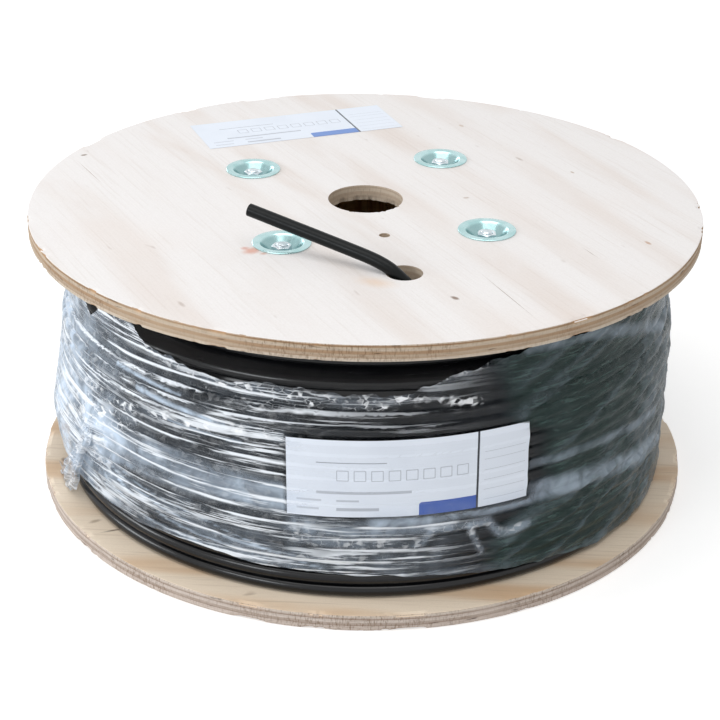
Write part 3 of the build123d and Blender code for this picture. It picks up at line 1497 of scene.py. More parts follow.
@dataclass
class Winding:
    """The cable on the drum: the outer turns, each a little out of line with its neighbours."""

    cable: float = 9.2 * MM
    turns: int = TURNS_UP
    outer_turns: int = 16
    arc_points: int = 9
    steps: int = 400
    wander_out: float = 0.9 * MM
    wander_up: float = 0.7 * MM
    shoulder_turns: int = 4
    shoulder_drop: float = 6.0 * MM
    half_arc: float = 80.0
    sag_share: float = 0.62
    deepest_sag: float = 2.0 * MM
    bore: float = 125.3 * MM
    low: float = field(init=False)
    high: float = field(init=False)
    wrapped: float = field(init=False)
    pitch: float = field(init=False)
    layer: float = field(init=False)
    rows: list[Point] = field(default_factory=list)

    def __post_init__(self) -> None:
        """Reads the winding's room from the frame and sets out its turns."""
        low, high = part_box("cable_winding")
        self.low, self.high, self.wrapped = low.z, high.z, high.x
        self.pitch = (self.high - self.low) / (self.turns + 0.5)
        self.layer = math.sqrt(self.cable**2 - (self.pitch / 2) ** 2)
        level_turns = self.outer_turns - 1 - self.shoulder_turns
        for turn in range(self.outer_turns):
            height = self.low + (turn + 0.5) * self.pitch
            sunk = self.shoulder_drop * (max(0, turn - level_turns) / self.shoulder_turns) ** 2
            self.rows.append((height, self.wrapped - sunk))
        above = self.low + (self.outer_turns + 1) * self.pitch
        self.rows.append((above, self.wrapped - self.layer))
        for turn in range(self.outer_turns + 2, self.turns):
            height = self.low + (turn + 0.5) * self.pitch
            self.rows.append((height, self.wrapped - 2 * self.layer))

    def nearest(self, height: float) -> int:
        """The turn whose middle lies nearest to a height."""
        return min(range(len(self.rows)), key=lambda row: abs(self.rows[row][0] - height))

    def wander(self, row: int, azimuth: float) -> Point:
        """How far a turn lies out of its place there, outwards and upwards.

        Args:
            row: the turn's number from the bottom.
            azimuth: where to read it, in degrees.

        Returns:
            Both distances in metres.
        """
        angle = math.radians(azimuth)
        ring = Vector((math.cos(angle) * 1.7, math.sin(angle) * 1.7, 0.0))
        out = noise.noise(ring + Vector((0, 0, row * 1.9))) * self.wander_out
        up = noise.noise(ring + Vector((5, 0, row * 2.3))) * self.wander_up
        return min(out, 0.5 * self.wander_out), up

    def crest(self, azimuth: float, height: float) -> float:
        """The radius that a film laid over the turns has there: it sags a little between two.

        Args:
            azimuth: the place round the drum, in degrees.
            height: the place up it.

        Returns:
            The radius.
        """
        nearest = self.nearest(height)
        level, radius = self.rows[nearest]
        out, up = self.wander(nearest, azimuth)
        off = min(0.5 * self.cable, abs(height - level - up))
        sag = 0.5 * self.cable - math.sqrt((0.5 * self.cable) ** 2 - off**2)
        return radius + out - self.sag_share * min(sag, self.deepest_sag)

    def build(self, finishes: "Finishes") -> None:
        """Makes the winding as one turned piece and moves each turn by its wander.

        Args:
            finishes: the drum's materials.
        """
        reach = 0.5 * self.cable
        outline: list[Point] = [(self.bore, self.low)]
        for height, radius in self.rows:
            for step in range(self.arc_points):
                share = step / (self.arc_points - 1)
                angle = math.radians(self.half_arc * (2 * share - 1))
                outline.append((radius - reach + reach * math.cos(angle), height + reach * math.sin(angle)))
        outline.append((self.bore, self.high))
        piece = turn_on_lathe("cable_turns", outline, self.steps)
        for vertex in piece.data.vertices:
            distance = math.hypot(vertex.co.x, vertex.co.y)
            if distance < self.bore + MM:
                continue
            row = self.nearest(vertex.co.z)
            azimuth = math.degrees(math.atan2(vertex.co.y, vertex.co.x))
            out, up = self.wander(row, azimuth)
            scale = (distance + out) / distance
            height = min(self.high, max(self.low, vertex.co.z + up))
            vertex.co = Vector((vertex.co.x * scale, vertex.co.y * scale, height))
        shade(piece, 60.0)
        dress(piece, [finishes.sheath], Slot.CABLE_SHEATH, "cable_winding")


@dataclass(frozen=True)
class Stroke:
    """A feature of the film, along a line of (azimuth, height) places in degrees and metres: milkiness,
    painted highlight streaks, painted glints and a lift.
    """

    places: tuple[Point, ...]
    width: float
    haze: float = 0.0
    streaks: float = 0.0
    crumple: float = 0.0
    lift: float = 0.0

    def share(self, azimuth: float, height: float, radius: float) -> float:
        """How much of the stroke shows at a place, 1 on its line and 0 far from it.

        Args:
            azimuth: the place round the drum, in degrees.
            height: the place up it.
            radius: the drum's radius there.

        Returns:
            The share, 0 to 1.
        """
        first, last = self.places[0][0], self.places[-1][0]
        reach = math.degrees(3 * self.width / radius)
        if not first - reach < azimuth < last + reach:
            return 0.0
        here = Vector((math.radians(azimuth) * radius, height))
        closest = math.inf
        for (a, low), (b, high) in zip(self.places, self.places[1:]):
            start = Vector((math.radians(a) * radius, low))
            run = Vector((math.radians(b) * radius, high)) - start
            part = min(1.0, max(0.0, (here - start).dot(run) / run.length_squared))
            closest = min(closest, (here - start - run * part).length)
        return smooth(1.7 * self.width, 0.4 * self.width, closest)


def in_metres(places: Iterable[Point]) -> tuple[Point, ...]:
    """Pairs of degrees and millimetres as pairs of degrees and metres."""
    return tuple((azimuth, height * MM) for azimuth, height in places)


def stroke(places: Iterable[Point], width: float, lift: float = 0.0, **looks: float) -> Stroke:
    """A stroke whose heights, width and lift are written in millimetres."""
    return Stroke(in_metres(places), width * MM, lift=lift * MM, **looks)


@dataclass
class FilmWrap:
    """The stretch film: one crumpled sheet round the turns, with a gathered tail."""

    winding: Winding
    columns: int = 720
    rows: int = 100
    clearance: float = 0.5 * MM
    top_edge: tuple[Point, ...] = in_metres((
        (-178, 186), (-164, 182), (-160, 172), (-154, 186), (-146, 186),
        (-141, 173), (-133, 169), (-127, 167), (-118, 170), (-112, 168),
        (-97, 166), (-90, 172), (-84, 180), (-78, 187), (-70, 191),
        (-58, 190), (-40, 190), (0, 189), (40, 180), (85, 170),
        (130, 174),
    ))
    low_edge: tuple[Point, ...] = in_metres((
        (-178, 36), (-159, 34.5), (-146, 33.6), (-130, 36), (-117, 33),
        (-95, 30), (-77, 26), (-65, 21), (-54, 17),
        (-39, 15), (0, 15), (40, 22), (90, 28), (140, 31),
    ))
    label_span: Point = (-113.9, -71.6)
    label_rise: Point = (77.5 * MM, 138.5 * MM)
    weave_border: tuple[Point, ...] = (
        (20 * MM, -80.0), (60 * MM, -80.0), (76 * MM, -71.0), (84 * MM, -70.0), (127 * MM, -70.6),
        (142 * MM, -77.0), (165 * MM, -78.5), (190 * MM, -81.0),
    )
    # Milky patches, painted highlight streaks, painted glints and lifts, along lines on the film.
    strokes: tuple[Stroke, ...] = (
        stroke(((-160, 84), (-152, 92), (-140, 95), (-126, 92), (-112, 88)),
               9, haze=0.55, streaks=0.7),
        stroke(((-156, 150), (-144, 146), (-133, 142)), 14, streaks=0.4),
        stroke(((-112, 70), (-100, 68), (-86, 70)), 5, haze=0.35, streaks=0.5),
        stroke(((-158, 74), (-140, 79), (-126, 80), (-113, 81)),
               3, haze=0.3, streaks=0.8),
        stroke(((-144, 141), (-134, 138.5), (-125, 136)), 1.5, haze=0.9, streaks=1.0),
        stroke(((-150, 150), (-142, 149), (-134, 147.5)), 1.0, haze=0.8, streaks=0.9),
        stroke(((-137, 128), (-130, 126), (-122, 125)), 1.1, haze=0.7, streaks=0.9),
        stroke(((-157, 70), (-148, 56), (-137, 47), (-120, 41)), 0.7, haze=0.6),
        stroke(((-157, 72), (-146, 60), (-133, 52), (-112, 44), (-96, 41)),
               0.6, haze=0.5),
        stroke(((-157, 74), (-143, 64), (-128, 57), (-108, 36)), 0.5, haze=0.5),
        stroke(((-157, 66), (-152, 50), (-143, 40), (-130, 38)), 0.7, haze=0.5),
        stroke(((-160, 120), (-151, 121), (-146, 125), (-134, 129),
                (-126, 134), (-120, 136), (-112, 133)),
               3.0, haze=0.15, crumple=1.0, lift=0.6),
        stroke(((-160, 104), (-154, 106), (-146, 112)), 7, haze=0.2, crumple=0.8),
        stroke(((-150, 186), (-144, 182), (-141, 173), (-133, 167),
                (-122, 164), (-112, 163), (-100, 161), (-94, 164)),
               3.5, haze=0.12, crumple=1.0, lift=0.8),
        stroke(((-129, 160), (-118, 157), (-108, 158), (-96, 160)),
               3.5, crumple=0.75, lift=0.4),
        stroke(((-97, 162), (-91, 161), (-86, 160), (-81, 156)), 3, crumple=0.9),
        stroke(((-101, 169), (-93, 173), (-86, 179), (-80, 184)), 2.4, crumple=0.9),
        stroke(((-158, 72), (-147, 60), (-132, 55), (-118, 38), (-95, 32)),
               5, haze=0.1, streaks=0.45),
        stroke(((-113, 62), (-101, 56), (-93, 57)),
               5, haze=0.12, streaks=0.6, crumple=0.4),
        stroke(((-112, 46), (-101, 44), (-88, 43)),
               3, haze=0.1, streaks=0.6, crumple=0.3),
        stroke(((-91.8, 52), (-88.5, 66), (-82, 66), (-79, 66), (-76.6, 54),
                (-71.5, 58)), 2.6, haze=0.32, crumple=0.45, lift=0.5),
        stroke(((-82.5, 64), (-81, 50), (-80, 42)), 1.8, haze=0.34, crumple=0.5),
        stroke(((-98, 77), (-87, 80), (-77, 78), (-68, 81), (-55, 76),
                (-40, 64), (-30, 57)), 6.5, haze=0.5, lift=1.2),
        stroke(((-71, 103), (-61, 102), (-49, 98), (-33, 87)), 3, haze=0.28),
        stroke(((-72, 190), (-58, 186), (-40, 165), (-30, 150)), 4, haze=0.3),
        stroke(((-10, 120), (25, 136), (60, 128), (95, 140), (140, 132)),
               4, haze=0.4, streaks=0.5),
        stroke(((20, 50), (60, 70), (100, 62), (140, 80), (172, 78)),
               5, haze=0.45, streaks=0.5),
        stroke(((60, 172), (85, 164), (112, 167), (140, 168), (172, 176)),
               3.5, haze=0.12, crumple=1.0, lift=0.6),
        stroke(((96, 108), (118, 104), (150, 110), (176, 106)),
               3, haze=0.15, crumple=0.9, lift=0.4),
    )
    # Regions (middle, end, full) of painted highlight streaks and glints: left front, middle and back.
    bright: Place = (-142.0, 44.0, 20.0)
    middle: Place = (-110.0, 34.0, 16.0)
    far: Place = (130.0, 75.0, 40.0)
    roll_width: float = 0.15
    tucked_level: float = 160 * MM
    splay: float = 0.02
    tail_line: tuple[Place, ...] = (
        (-0.2170, -0.0880, 0.090), (-0.2230, -0.0830, 0.072), (-0.2320, -0.0600, 0.042),
        (-0.2350, -0.0420, 0.022), (-0.2370, -0.0280, 0.0135),
    )
    tail_widths: tuple[float, ...] = (6 * MM, 8 * MM, 13 * MM, 18 * MM, 24 * MM)
    fan_start: float = -80.0
    fan_slope: float = 0.42
    knot: Point = (-158.5, 84 * MM)
    fields: dict[str, list[float]] = field(default_factory=dict)

    @staticmethod
    def in_region(azimuth: float, region: Place) -> float:
        """How surely an azimuth lies in a region.

        Args:
            azimuth: the place round the drum, in degrees.
            region: the region's middle, and how far from it it ends and is full.

        Returns:
            1 where it is full, and 0 beyond its ends.
        """
        middle, end, full = region
        return smooth(end, full, abs(turned_from(azimuth, middle)))

    @staticmethod
    def ridge(place: Vector, sharpness: float) -> float:
        """A crease pattern: 1 on thin lines and 0 between them."""
        return max(0.0, 1.0 - abs(noise.noise(place)) * sharpness)

    def look(self, azimuth: float, height: float, top: float, low: float) -> tuple[float, dict]:
        """How far the film stands off at a place, and how it looks there.

        Args:
            azimuth: the place round the drum, in degrees.
            height: the place up it.
            top: the film's top edge there.
            low: its lower edge there.

        Returns:
            The stand-off in metres, and from 0 to 1 the milkiness with its painted grazing reflection, the
            painted highlight streaks, the painted glints and the slanting creases with their painted
            reflection.
        """
        angle = math.radians(azimuth)
        x, y = math.cos(angle), math.sin(angle)
        radius = self.winding.wrapped
        here = {"haze": 0.02, "streaks": 0.0, "crumple": 0.0, "weave": 0.0}
        # Painted highlight streaks and glints, strongest at the left front, with a little milkiness.
        bright = self.in_region(azimuth, self.bright)
        here["streaks"] += bright * (0.75 + 0.25 * smooth(60 * MM, 120 * MM, height))
        middle = self.in_region(azimuth, self.middle)
        here["streaks"] += middle * (0.5 + 0.15 * smooth(80 * MM, 50 * MM, height))
        here["haze"] += 0.05 * bright + 0.1 * middle * smooth(82 * MM, 66 * MM, height)
        here["crumple"] += 0.12 * bright
        far = self.in_region(azimuth, self.far)
        here["streaks"] += 0.5 * far
        here["haze"] += 0.04 * far
        here["crumple"] += 0.12 * far
        off = 0.0
        for stroke in self.strokes:
            share = stroke.share(azimuth, height, radius)
            if share < 0.01:
                continue
            off += share * stroke.lift
            here["haze"] += share * stroke.haze
            here["streaks"] += share * stroke.streaks
            here["crumple"] += share * stroke.crumple
        arc = math.radians(turned_from(azimuth, self.fan_start)) * radius
        start = along(self.weave_border, height) + 2 * noise.noise(Vector((0.0, 3.0, height * 40)))
        fan = smooth(0.0, 5.0, azimuth - start) * smooth(110.0, 60.0, azimuth)
        slid = height - self.fan_slope * arc + 9 * MM * noise.noise(Vector((x * 4, y * 4, height * 9)))
        crease = self.ridge(Vector((arc * 6.0, slid * 62, 4.0)), 4.2)
        fine = self.ridge(Vector((arc * 11.0, slid * 150, 9.0)), 4.6)
        off += fan * (1.1 * MM * crease + 0.4 * MM * fine + 1.2 * MM)
        # The slanting creases' region, which also carries the painted dark green reflection.
        here["weave"] = fan
        here["haze"] += fan * 0.1 * crease
        rim, low_rim = hill(top - height, 5 * MM), hill(height - low, 4 * MM)
        crinkle = self.ridge(Vector((x * 21, y * 21, height * 120)), 3.2)
        off += (rim + 0.35 * low_rim) * 1.0 * MM * crinkle
        here["haze"] += (1 - fan) * 0.12 * rim * crinkle + 0.1 * low_rim
        # The loose bulge at the left silhouette; its whitening is painted reflection of the bright
        # surroundings at a grazing angle, with painted streaks and glints.
        left = hill(turned_from(azimuth, -182.0), 15.0)
        off += left * 9.5 * MM * hill(height - 62 * MM, 28 * MM)
        folds = self.ridge(Vector((azimuth * 0.16, height * 7.0, 2.0)), 3.0)
        here["haze"] += left * (0.95 + 0.4 * folds)
        here["streaks"] += 0.6 * left
        here["crumple"] += 0.3 * left
        # Painted reflection: whitening at the right silhouette, where the film is seen at a grazing angle.
        right = hill(turned_from(azimuth, -14.0), 13.0)
        off += right * 2.6 * MM
        here["haze"] += right * (0.16 + 0.24 * crease)
        to_knot = Vector((math.radians(turned_from(azimuth, self.knot[0])) * radius, height - self.knot[1]))
        pull = hill(to_knot.length, 12 * MM)
        spokes = self.ridge(Vector((math.atan2(to_knot.y, to_knot.x) * 2.6, to_knot.length * 30, 1.0)), 3.0)
        off += pull * (3.0 * MM + 2.0 * MM * spokes)
        here["haze"] += 0.95 * pull + 0.6 * hill(to_knot.length, 26 * MM) * spokes
        # Painted glints round the knot.
        here["crumple"] += 0.6 * hill(to_knot.length, 20 * MM)
        label = self.over_label(azimuth, height)
        off += label * 1.0 * MM
        here["haze"] *= 1 - 0.75 * label
        here["streaks"] *= 1 - 0.85 * label
        here["over_label"] = label
        return off, {name: min(1.0, value) for name, value in here.items()}

    def over_label(self, azimuth: float, height: float) -> float:
        """How surely a place lies over the paper label: 1 over it, and 0 a little way off.

        Args:
            azimuth: the place round the drum, in degrees.
            height: the place up it.

        Returns:
            The share, 0 to 1.
        """
        (left, right), (low, high) = self.label_span, self.label_rise
        aside = smooth(left - 0.6, left + 0.2, azimuth) * smooth(right + 0.6, right - 0.2, azimuth)
        return aside * smooth(low - 1.5 * MM, low, height) * smooth(high + 1.5 * MM, high, height)

    def point(self, along_share: float, up_share: float) -> Vector:
        """A point of the sheet from shares of the way round and up.

        Args:
            along_share: how far round.
            up_share: how far up.

        Returns:
            The point, whose looks are kept in fields.
        """
        azimuth = -180 + 360 * along_share
        angle = math.radians(azimuth)
        ring = Vector((math.cos(angle), math.sin(angle), 0.0))
        top, low = around(self.top_edge, azimuth), around(self.low_edge, azimuth)
        ragged = noise.noise(ring * 9.0) * 3.0 * MM + noise.noise(ring * 31.0) * 2.2 * MM
        top = min(self.winding.high - 2 * MM, top + ragged)
        low += noise.noise(ring * 13.0 + Vector((0, 0, 4))) * 1.5 * MM
        height = low + (top - low) * up_share
        off, look = self.look(azimuth, height, top, low)
        level = min(height, self.tucked_level)
        radius = self.winding.crest(azimuth, level) + self.clearance + off
        radius += self.splay * (height - level)
        for name, value in look.items():
            self.fields.setdefault(name, []).append(value)
        place = ring * radius
        place.z = height
        return place

    def build(self, finishes: "Finishes") -> None:
        """Makes the sheet and its tail.

        Args:
            finishes: the drum's materials.
        """
        piece = grid_piece("stretch_film_wrap", self.columns, self.rows, self.point)
        self.keep_fields(piece)
        lay_out(piece, "wrap", self.unrolled)
        with editing(piece):
            bpy.ops.mesh.remove_doubles(threshold=0.01 * MM)
            bpy.ops.mesh.normals_make_consistent(inside=False)
        shade(piece, 180.0)
        dress(piece, [finishes.film], Slot.STRETCH_FILM, "film_wrap")
        tail = self.tail(finishes)

    def unrolled(self, co: Vector) -> Point:
        """A point's place on the film's map, in metres round and up."""
        return math.atan2(co.y, co.x) * self.winding.wrapped, co.z

    def keep_fields(self, piece: Piece) -> None:
        """Keeps the looks that point gathered, one number at each vertex, and forgets them.

        Args:
            piece: the piece whose points were just made.
        """
        for name, values in self.fields.items():
            attribute = piece.data.attributes.new(name, "FLOAT", "POINT")
            attribute.data.foreach_set("value", values)
        self.fields = {}

    def tail(self, finishes: "Finishes") -> Piece:
        """The gathered end of the film, from the knot down on to the bottom flange.

        Args:
            finishes: the drum's materials.

        Returns:
            The tail.
        """
        centre, widths = [Vector(place) for place in self.tail_line], self.tail_widths

        def point(along_share: float, up_share: float) -> Vector:
            """A point of the tail from shares of the way across and down.

            Args:
                along_share: how far across.
                up_share: how far down.

            Returns:
                The point.
            """
            step = up_share * (len(centre) - 1)
            index = min(int(step), len(centre) - 2)
            part = step - index
            middle = centre[index].lerp(centre[index + 1], part)
            width = widths[index] * (1 - part) + widths[index + 1] * part
            tangent = Vector((-middle.y, middle.x, 0)).normalized()
            outward = Vector((middle.x, middle.y, 0)).normalized()
            across = (along_share - 0.5) * 2
            fold = noise.noise(Vector((across * 3.4, up_share * 2.0, 2.0)))
            frayed = noise.noise(Vector((across * 0.3, up_share * 6.0, 4.0)))
            place = middle + tangent * across * width * (1 + 0.25 * fold + 0.5 * frayed)
            place += outward * (3.6 * MM * fold - 1.5 * MM * across * across)
            ragged = 9 * MM * noise.noise(Vector((across * 3.0, 0.0, 8.0))) * up_share**3
            place.z = max(12.6 * MM, place.z + ragged)
            # The tail's looks: milky where folded, with painted highlight streaks and painted glints.
            for name, value in {
                "haze": 0.4 + 1.1 * abs(fold), "streaks": 0.5, "crumple": 0.8, "weave": 0.0,
                "over_label": 0.0,
            }.items():
                self.fields.setdefault(name, []).append(value)
            return place

        piece = grid_piece("stretch_film_tail", 26, 30, point)
        self.keep_fields(piece)
        lay_out(piece, "wrap", self.unrolled)
        shade(piece, 180.0)
        return dress(piece, [finishes.film], Slot.STRETCH_FILM)


@dataclass
class Labels:
    """The two paper labels, bare apart from plain rules, small blank squares and a blue block."""

    winding: Winding
    wrap_azimuth: float = -92.8
    wrap_length: float = WRAP_LABEL[0]
    wrap_width: float = WRAP_LABEL[1]
    tilt: float = 0.7
    flat_length: float = FLAT_LABEL[0]
    flat_width: float = FLAT_LABEL[1]
    flat_turn: float = 10.2

    def wrap_label(self, finishes: "Finishes") -> None:
        """The label under the film, bent round the turns, one end a little wavy.

        Args:
            finishes: the drum's materials.
        """
        low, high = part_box("winding_label")
        middle = (low.z + high.z) / 2
        radius = self.winding.wrapped + 0.2 * MM
        slant = math.sin(math.radians(self.tilt))

        def point(along_share: float, up_share: float) -> Vector:
            """A point of the label from shares of the way along and up.

            Args:
                along_share: how far along.
                up_share: how far up.

            Returns:
                The point.
            """
            x = (along_share - 0.5) * self.wrap_length
            z = (up_share - 0.5) * self.wrap_width
            if along_share > 0.97:
                x += 1.2 * MM * noise.noise(Vector((z * 90, 2.0, 0.0)))
            run, rise = x - z * slant, z + x * slant
            azimuth = math.radians(self.wrap_azimuth) + run / radius
            wave = 0.35 * MM * noise.noise(Vector((x * 28, z * 60, 5.0)))
            reach = radius + 0.35 * MM + wave
            return Vector((reach * math.cos(azimuth), reach * math.sin(azimuth), middle + rise))

        piece = grid_piece("wrapped_paper_label", 120, 40, point)

        def flat(co: Vector) -> Point:
            """A point's place on the label as it lay flat, from its lower left corner.

            Args:
                co: the point.

            Returns:
                The place, in metres along and up.
            """
            angle = math.atan2(co.y, co.x) - math.radians(self.wrap_azimuth)
            run, rise = angle * radius, co.z - middle
            x, z = run + rise * slant, rise - run * slant
            return x + self.wrap_length / 2, z + self.wrap_width / 2

        lay_out(piece, "sheet", flat)
        shade(piece, 60.0)
        dress(piece, [finishes.wrap_paper], Slot.LABEL_PAPER, "winding_label")

    def flat_label(self, finishes: "Finishes") -> None:
        """The label stuck on the top flange, with low bubbles under it.

        Args:
            finishes: the drum's materials.
        """
        low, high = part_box("flange_label")
        centre = (low + high) / 2
        turn = Matrix.Rotation(math.radians(self.flat_turn), 4, "Z")

        def point(along_share: float, up_share: float) -> Vector:
            """A point of the label from shares of the way along and up.

            Args:
                along_share: how far along.
                up_share: how far up.

            Returns:
                The point.
            """
            x = (along_share - 0.5) * self.flat_length
            y = (up_share - 0.5) * self.flat_width
            bubble = 0.1 * MM * noise.noise(Vector((x * 60, y * 60, 1.0)))
            level = min(high.z, low.z + 0.18 * MM + bubble)
            place = turn @ Vector((x, y, 0.0))
            return Vector((centre.x + place.x, centre.y + place.y, level))

        piece = grid_piece("flat_paper_label", 84, 30, point)
        back = turn.inverted()

        def flat(co: Vector) -> Point:
            """A point's place on the label, from its lower left corner.

            Args:
                co: the point.

            Returns:
                The place, in metres along and up.
            """
            place = back @ Vector((co.x - centre.x, co.y - centre.y, 0))
            return place.x + self.flat_length / 2, place.y + self.flat_width / 2

        lay_out(piece, "sheet", flat)
        shade(piece, 60.0)
        dress(piece, [finishes.flat_paper], Slot.LABEL_PAPER, "flange_label")

    def build(self, finishes: "Finishes") -> None:
        """Makes both labels."""
        self.wrap_label(finishes)
        self.flat_label(finishes)


@dataclass
class CableStart:
    """The stiff bare start of the cable, out through its hole in the top flange."""

    diameter: float = 9.2 * MM
    route: tuple[Place, ...] = (
        (0.0062, -0.1442, 0.2040),
        (-0.0010, -0.1436, 0.2120),
        (-0.0135, -0.1376, 0.2232),
        (-0.0420, -0.1167, 0.2302),
        (-0.0974, -0.0755, 0.2430),
    )
    exit: Place = (-0.0055, -0.1412, 0.2160)
    length: float = 0.134

    def build(self, finishes: "Finishes") -> None:
        """Makes the cable as one smooth curve.

        Args:
            finishes: the drum's materials.
        """
        curve = bpy.data.curves.new("cable_start", "CURVE")
        curve.dimensions = "3D"
        spline = curve.splines.new("NURBS")
        spline.points.add(len(self.route) - 1)
        for point, place in zip(spline.points, self.route):
            point.co = (*place, 1.0)
        spline.order_u = 3
        spline.use_endpoint_u = True
        spline.resolution_u = 24
        curve.bevel_depth = self.diameter / 2
        curve.bevel_resolution = 10
        curve.use_fill_caps = True
        piece = bpy.data.objects.new("cable_start", curve)
        bpy.context.scene.collection.objects.link(piece)
        dress(piece, [finishes.stub_sheath], Slot.CABLE_SHEATH, "cable_start_end")
        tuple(self.exit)


class Finishes:
    """Every material of the drum."""

    def __init__(self) -> None:
        """Builds the materials."""
        self.make_boards()
        self.make_edges()
        self.make_metal_and_cable()
        self.make_papers()

    def make_boards(self) -> None:
        """The two flanges' face veneers, with their knots, stains and splits, a painted shadow by the
        cable's hole, and painted light that makes the top face near white.
        """
        brown, orange, rust = ink(120, 92, 70), ink(222, 150, 122), ink(96, 62, 44)
        top_marks = (
            Mark(-0.2024, 0.1269, 7 * MM, 4 * MM, 20, brown),
            Mark(0.0247, -0.1853, 9 * MM, 5 * MM, -60, brown),
            Mark(0.1823, -0.1154, 9 * MM, 4 * MM, -70, ink(190, 150, 120), 0.7),
            Mark(-0.0965, -0.0850, 22 * MM, 15 * MM, 30, orange, 0.7, 0.8),
            Mark(-0.1015, -0.0800, 9 * MM, 8 * MM, 0, ink(216, 140, 116), 0.6, 0.9),
            Mark(-0.0900, -0.0915, 8 * MM, 6 * MM, 0, ink(206, 140, 112), 0.6, 0.9),
            # Painted shadow: a warm soft patch on the face where the cable's start leaves its hole.
            Mark(-0.0220, -0.1520, 42 * MM, 24 * MM, -34, ink(238, 206, 176), 0.6, 1.2),
            Mark(0.0604, -0.1873, 96 * MM, 0.9 * MM, -77, ink(126, 100, 80), 0.7, 0.9),
            Mark(0.1364, -0.1260, 27 * MM, 0.9 * MM, -75, ink(126, 100, 80), 0.6, 0.9),
            Mark(-0.2000, 0.0875, 66 * MM, 1.0 * MM, -73, ink(150, 120, 96), 0.6, 0.9),
            Mark(0.0750, -0.0100, 6 * MM, 4 * MM, 0, ink(160, 130, 104), 0.5),
            Mark(0.1700, 0.0300, 6 * MM, 3 * MM, -70, ink(168, 136, 108), 0.6),
            Mark(0.1100, 0.1500, 8 * MM, 4 * MM, -70, ink(186, 156, 128), 0.5),
        )
        bottom_marks = (
            Mark(-0.2348, 0.0018, 11 * MM, 7 * MM, -70, rust, 0.75, 0.8),
            Mark(-0.2035, -0.1077, 26 * MM, 3 * MM, 10, ink(92, 76, 62), 0.8, 0.9),
            Mark(-0.2170, -0.0930, 14 * MM, 6 * MM, 20, ink(150, 128, 104), 0.6, 0.9),
            Mark(0.2200, 0.0300, 30 * MM, 2 * MM, 0, ink(150, 112, 78), 0.6),
        )
        # Painted light: the top face is made near white, lighter than the flanges' warm plywood, as strong
        # overhead light shows it.
        self.top_face = PlywoodFace(
            "pale face veneer", ink(245, 242, 241), ink(232, 221, 214), -73.0, 0.7, top_marks
        ).material()
        self.bottom_face = PlywoodFace(
            "warm face veneer", ink(240, 223, 201), ink(216, 180, 142), -14.0, 1.0, bottom_marks, 0.34
        ).material()

    def make_edges(self) -> None:
        """The two flanges' sawn edges, ply by ply from the bottom, and the staves' wood."""
        top_low, top_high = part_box("top_flange")
        low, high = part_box("bottom_flange")
        pale, tan = ink(206, 190, 172), ink(182, 160, 138)
        plies = (
            (0.0, ink(214, 202, 186)), (0.18, pale), (0.22, ink(176, 152, 128)), (0.26, tan),
            (0.4, ink(192, 172, 150)), (0.48, ink(168, 138, 110)), (0.6, ink(176, 148, 120)),
            (0.66, pale), (0.82, ink(200, 182, 160)), (0.88, ink(152, 118, 86)),
            (0.92, ink(158, 124, 92)), (0.95, ink(214, 198, 180)), (1.0, ink(206, 184, 160)),
        )
        pink, grey = ink(210, 196, 186), ink(186, 170, 158)
        low_plies = (
            (0.0, pink), (0.28, pink), (0.33, ink(156, 134, 118)), (0.36, grey), (0.5, grey),
            (0.54, ink(214, 202, 192)), (0.7, pink), (0.74, ink(158, 136, 120)), (0.79, grey),
            (0.9, ink(220, 208, 196)), (1.0, ink(216, 200, 182)),
        )
        self.top_edge = PlywoodEdge(
            "sawn edge above", top_low.z, top_high.z, plies, ink(204, 186, 162), 0.8
        ).material()
        self.bottom_edge = PlywoodEdge(
            "sawn edge below", low.z, high.z, low_plies, ink(212, 196, 184), 0.25
        ).material()
        self.stave = SawnWood("sawn stave", ink(206, 172, 128), ink(160, 124, 84)).material()

    def make_metal_and_cable(self) -> None:
        """The zinc plate, the cable's sheath and the film over it."""
        self.zinc = ZincPlate(
            "zinc plate", ink(194, 224, 226), ink(172, 210, 211), 0.16, 0.15,
            # The third colour is painted shade for the washers' dishes, below their lips' face.
            ink(142, 174, 176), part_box("cup_washers")[1].z,
        ).material()
        self.bright_nut = ZincPlate(
            "bright nut", ink(226, 232, 236), ink(186, 200, 206), 0.22
        ).material()
        self.sheath = CableSheath("cable sheath", ink(9, 10, 13)).material()
        self.stub_sheath = CableSheath("cable start sheath", ink(9, 13, 14), 0.3, 0.2).material()
        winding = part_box("cable_winding")
        pitch = (winding[1].z - winding[0].z) / (TURNS_UP + 0.5)
        self.film = StretchFilm("stretch film", winding[0].z, pitch).material()

    def make_papers(self) -> None:
        """Both labels' paper: the same plain blocks, the flat one's in paler inks."""
        white, grey_rule, blue = ink(236, 243, 254), ink(150, 154, 164), ink(66, 98, 182)
        dark = ink(52, 54, 62)
        squares = tuple(
            Block(0.20 + 0.069 * i, 0.47, 0.20 + 0.069 * i + 0.05, 0.61, grey_rule, 0.6 * MM, 0.55)
            for i in range(8)
        )
        cores = tuple(
            Block(b.left + 0.004, b.low + 0.012, b.right - 0.004, b.high - 0.012, white, 0.5 * MM)
            for b in squares
        )
        lines = tuple(
            Block(0.80, height, 0.985, height + 0.006, grey_rule, 0.0, 0.5)
            for height in (0.09, 0.22, 0.35, 0.48, 0.62, 0.72)
        )
        words = (
            Block(0.12, 0.30, 0.50, 0.335, grey_rule, 0.0, 0.6),
            Block(0.04, 0.20, 0.14, 0.225, grey_rule, 0.0, 0.4),
            Block(0.20, 0.20, 0.29, 0.225, grey_rule, 0.0, 0.5),
            Block(0.04, 0.09, 0.13, 0.115, grey_rule, 0.0, 0.4),
            Block(0.20, 0.08, 0.37, 0.12, grey_rule, 0.0, 0.6),
            Block(0.12, 0.70, 0.40, 0.712, ink(120, 124, 134), 0.0, 0.7),
        )

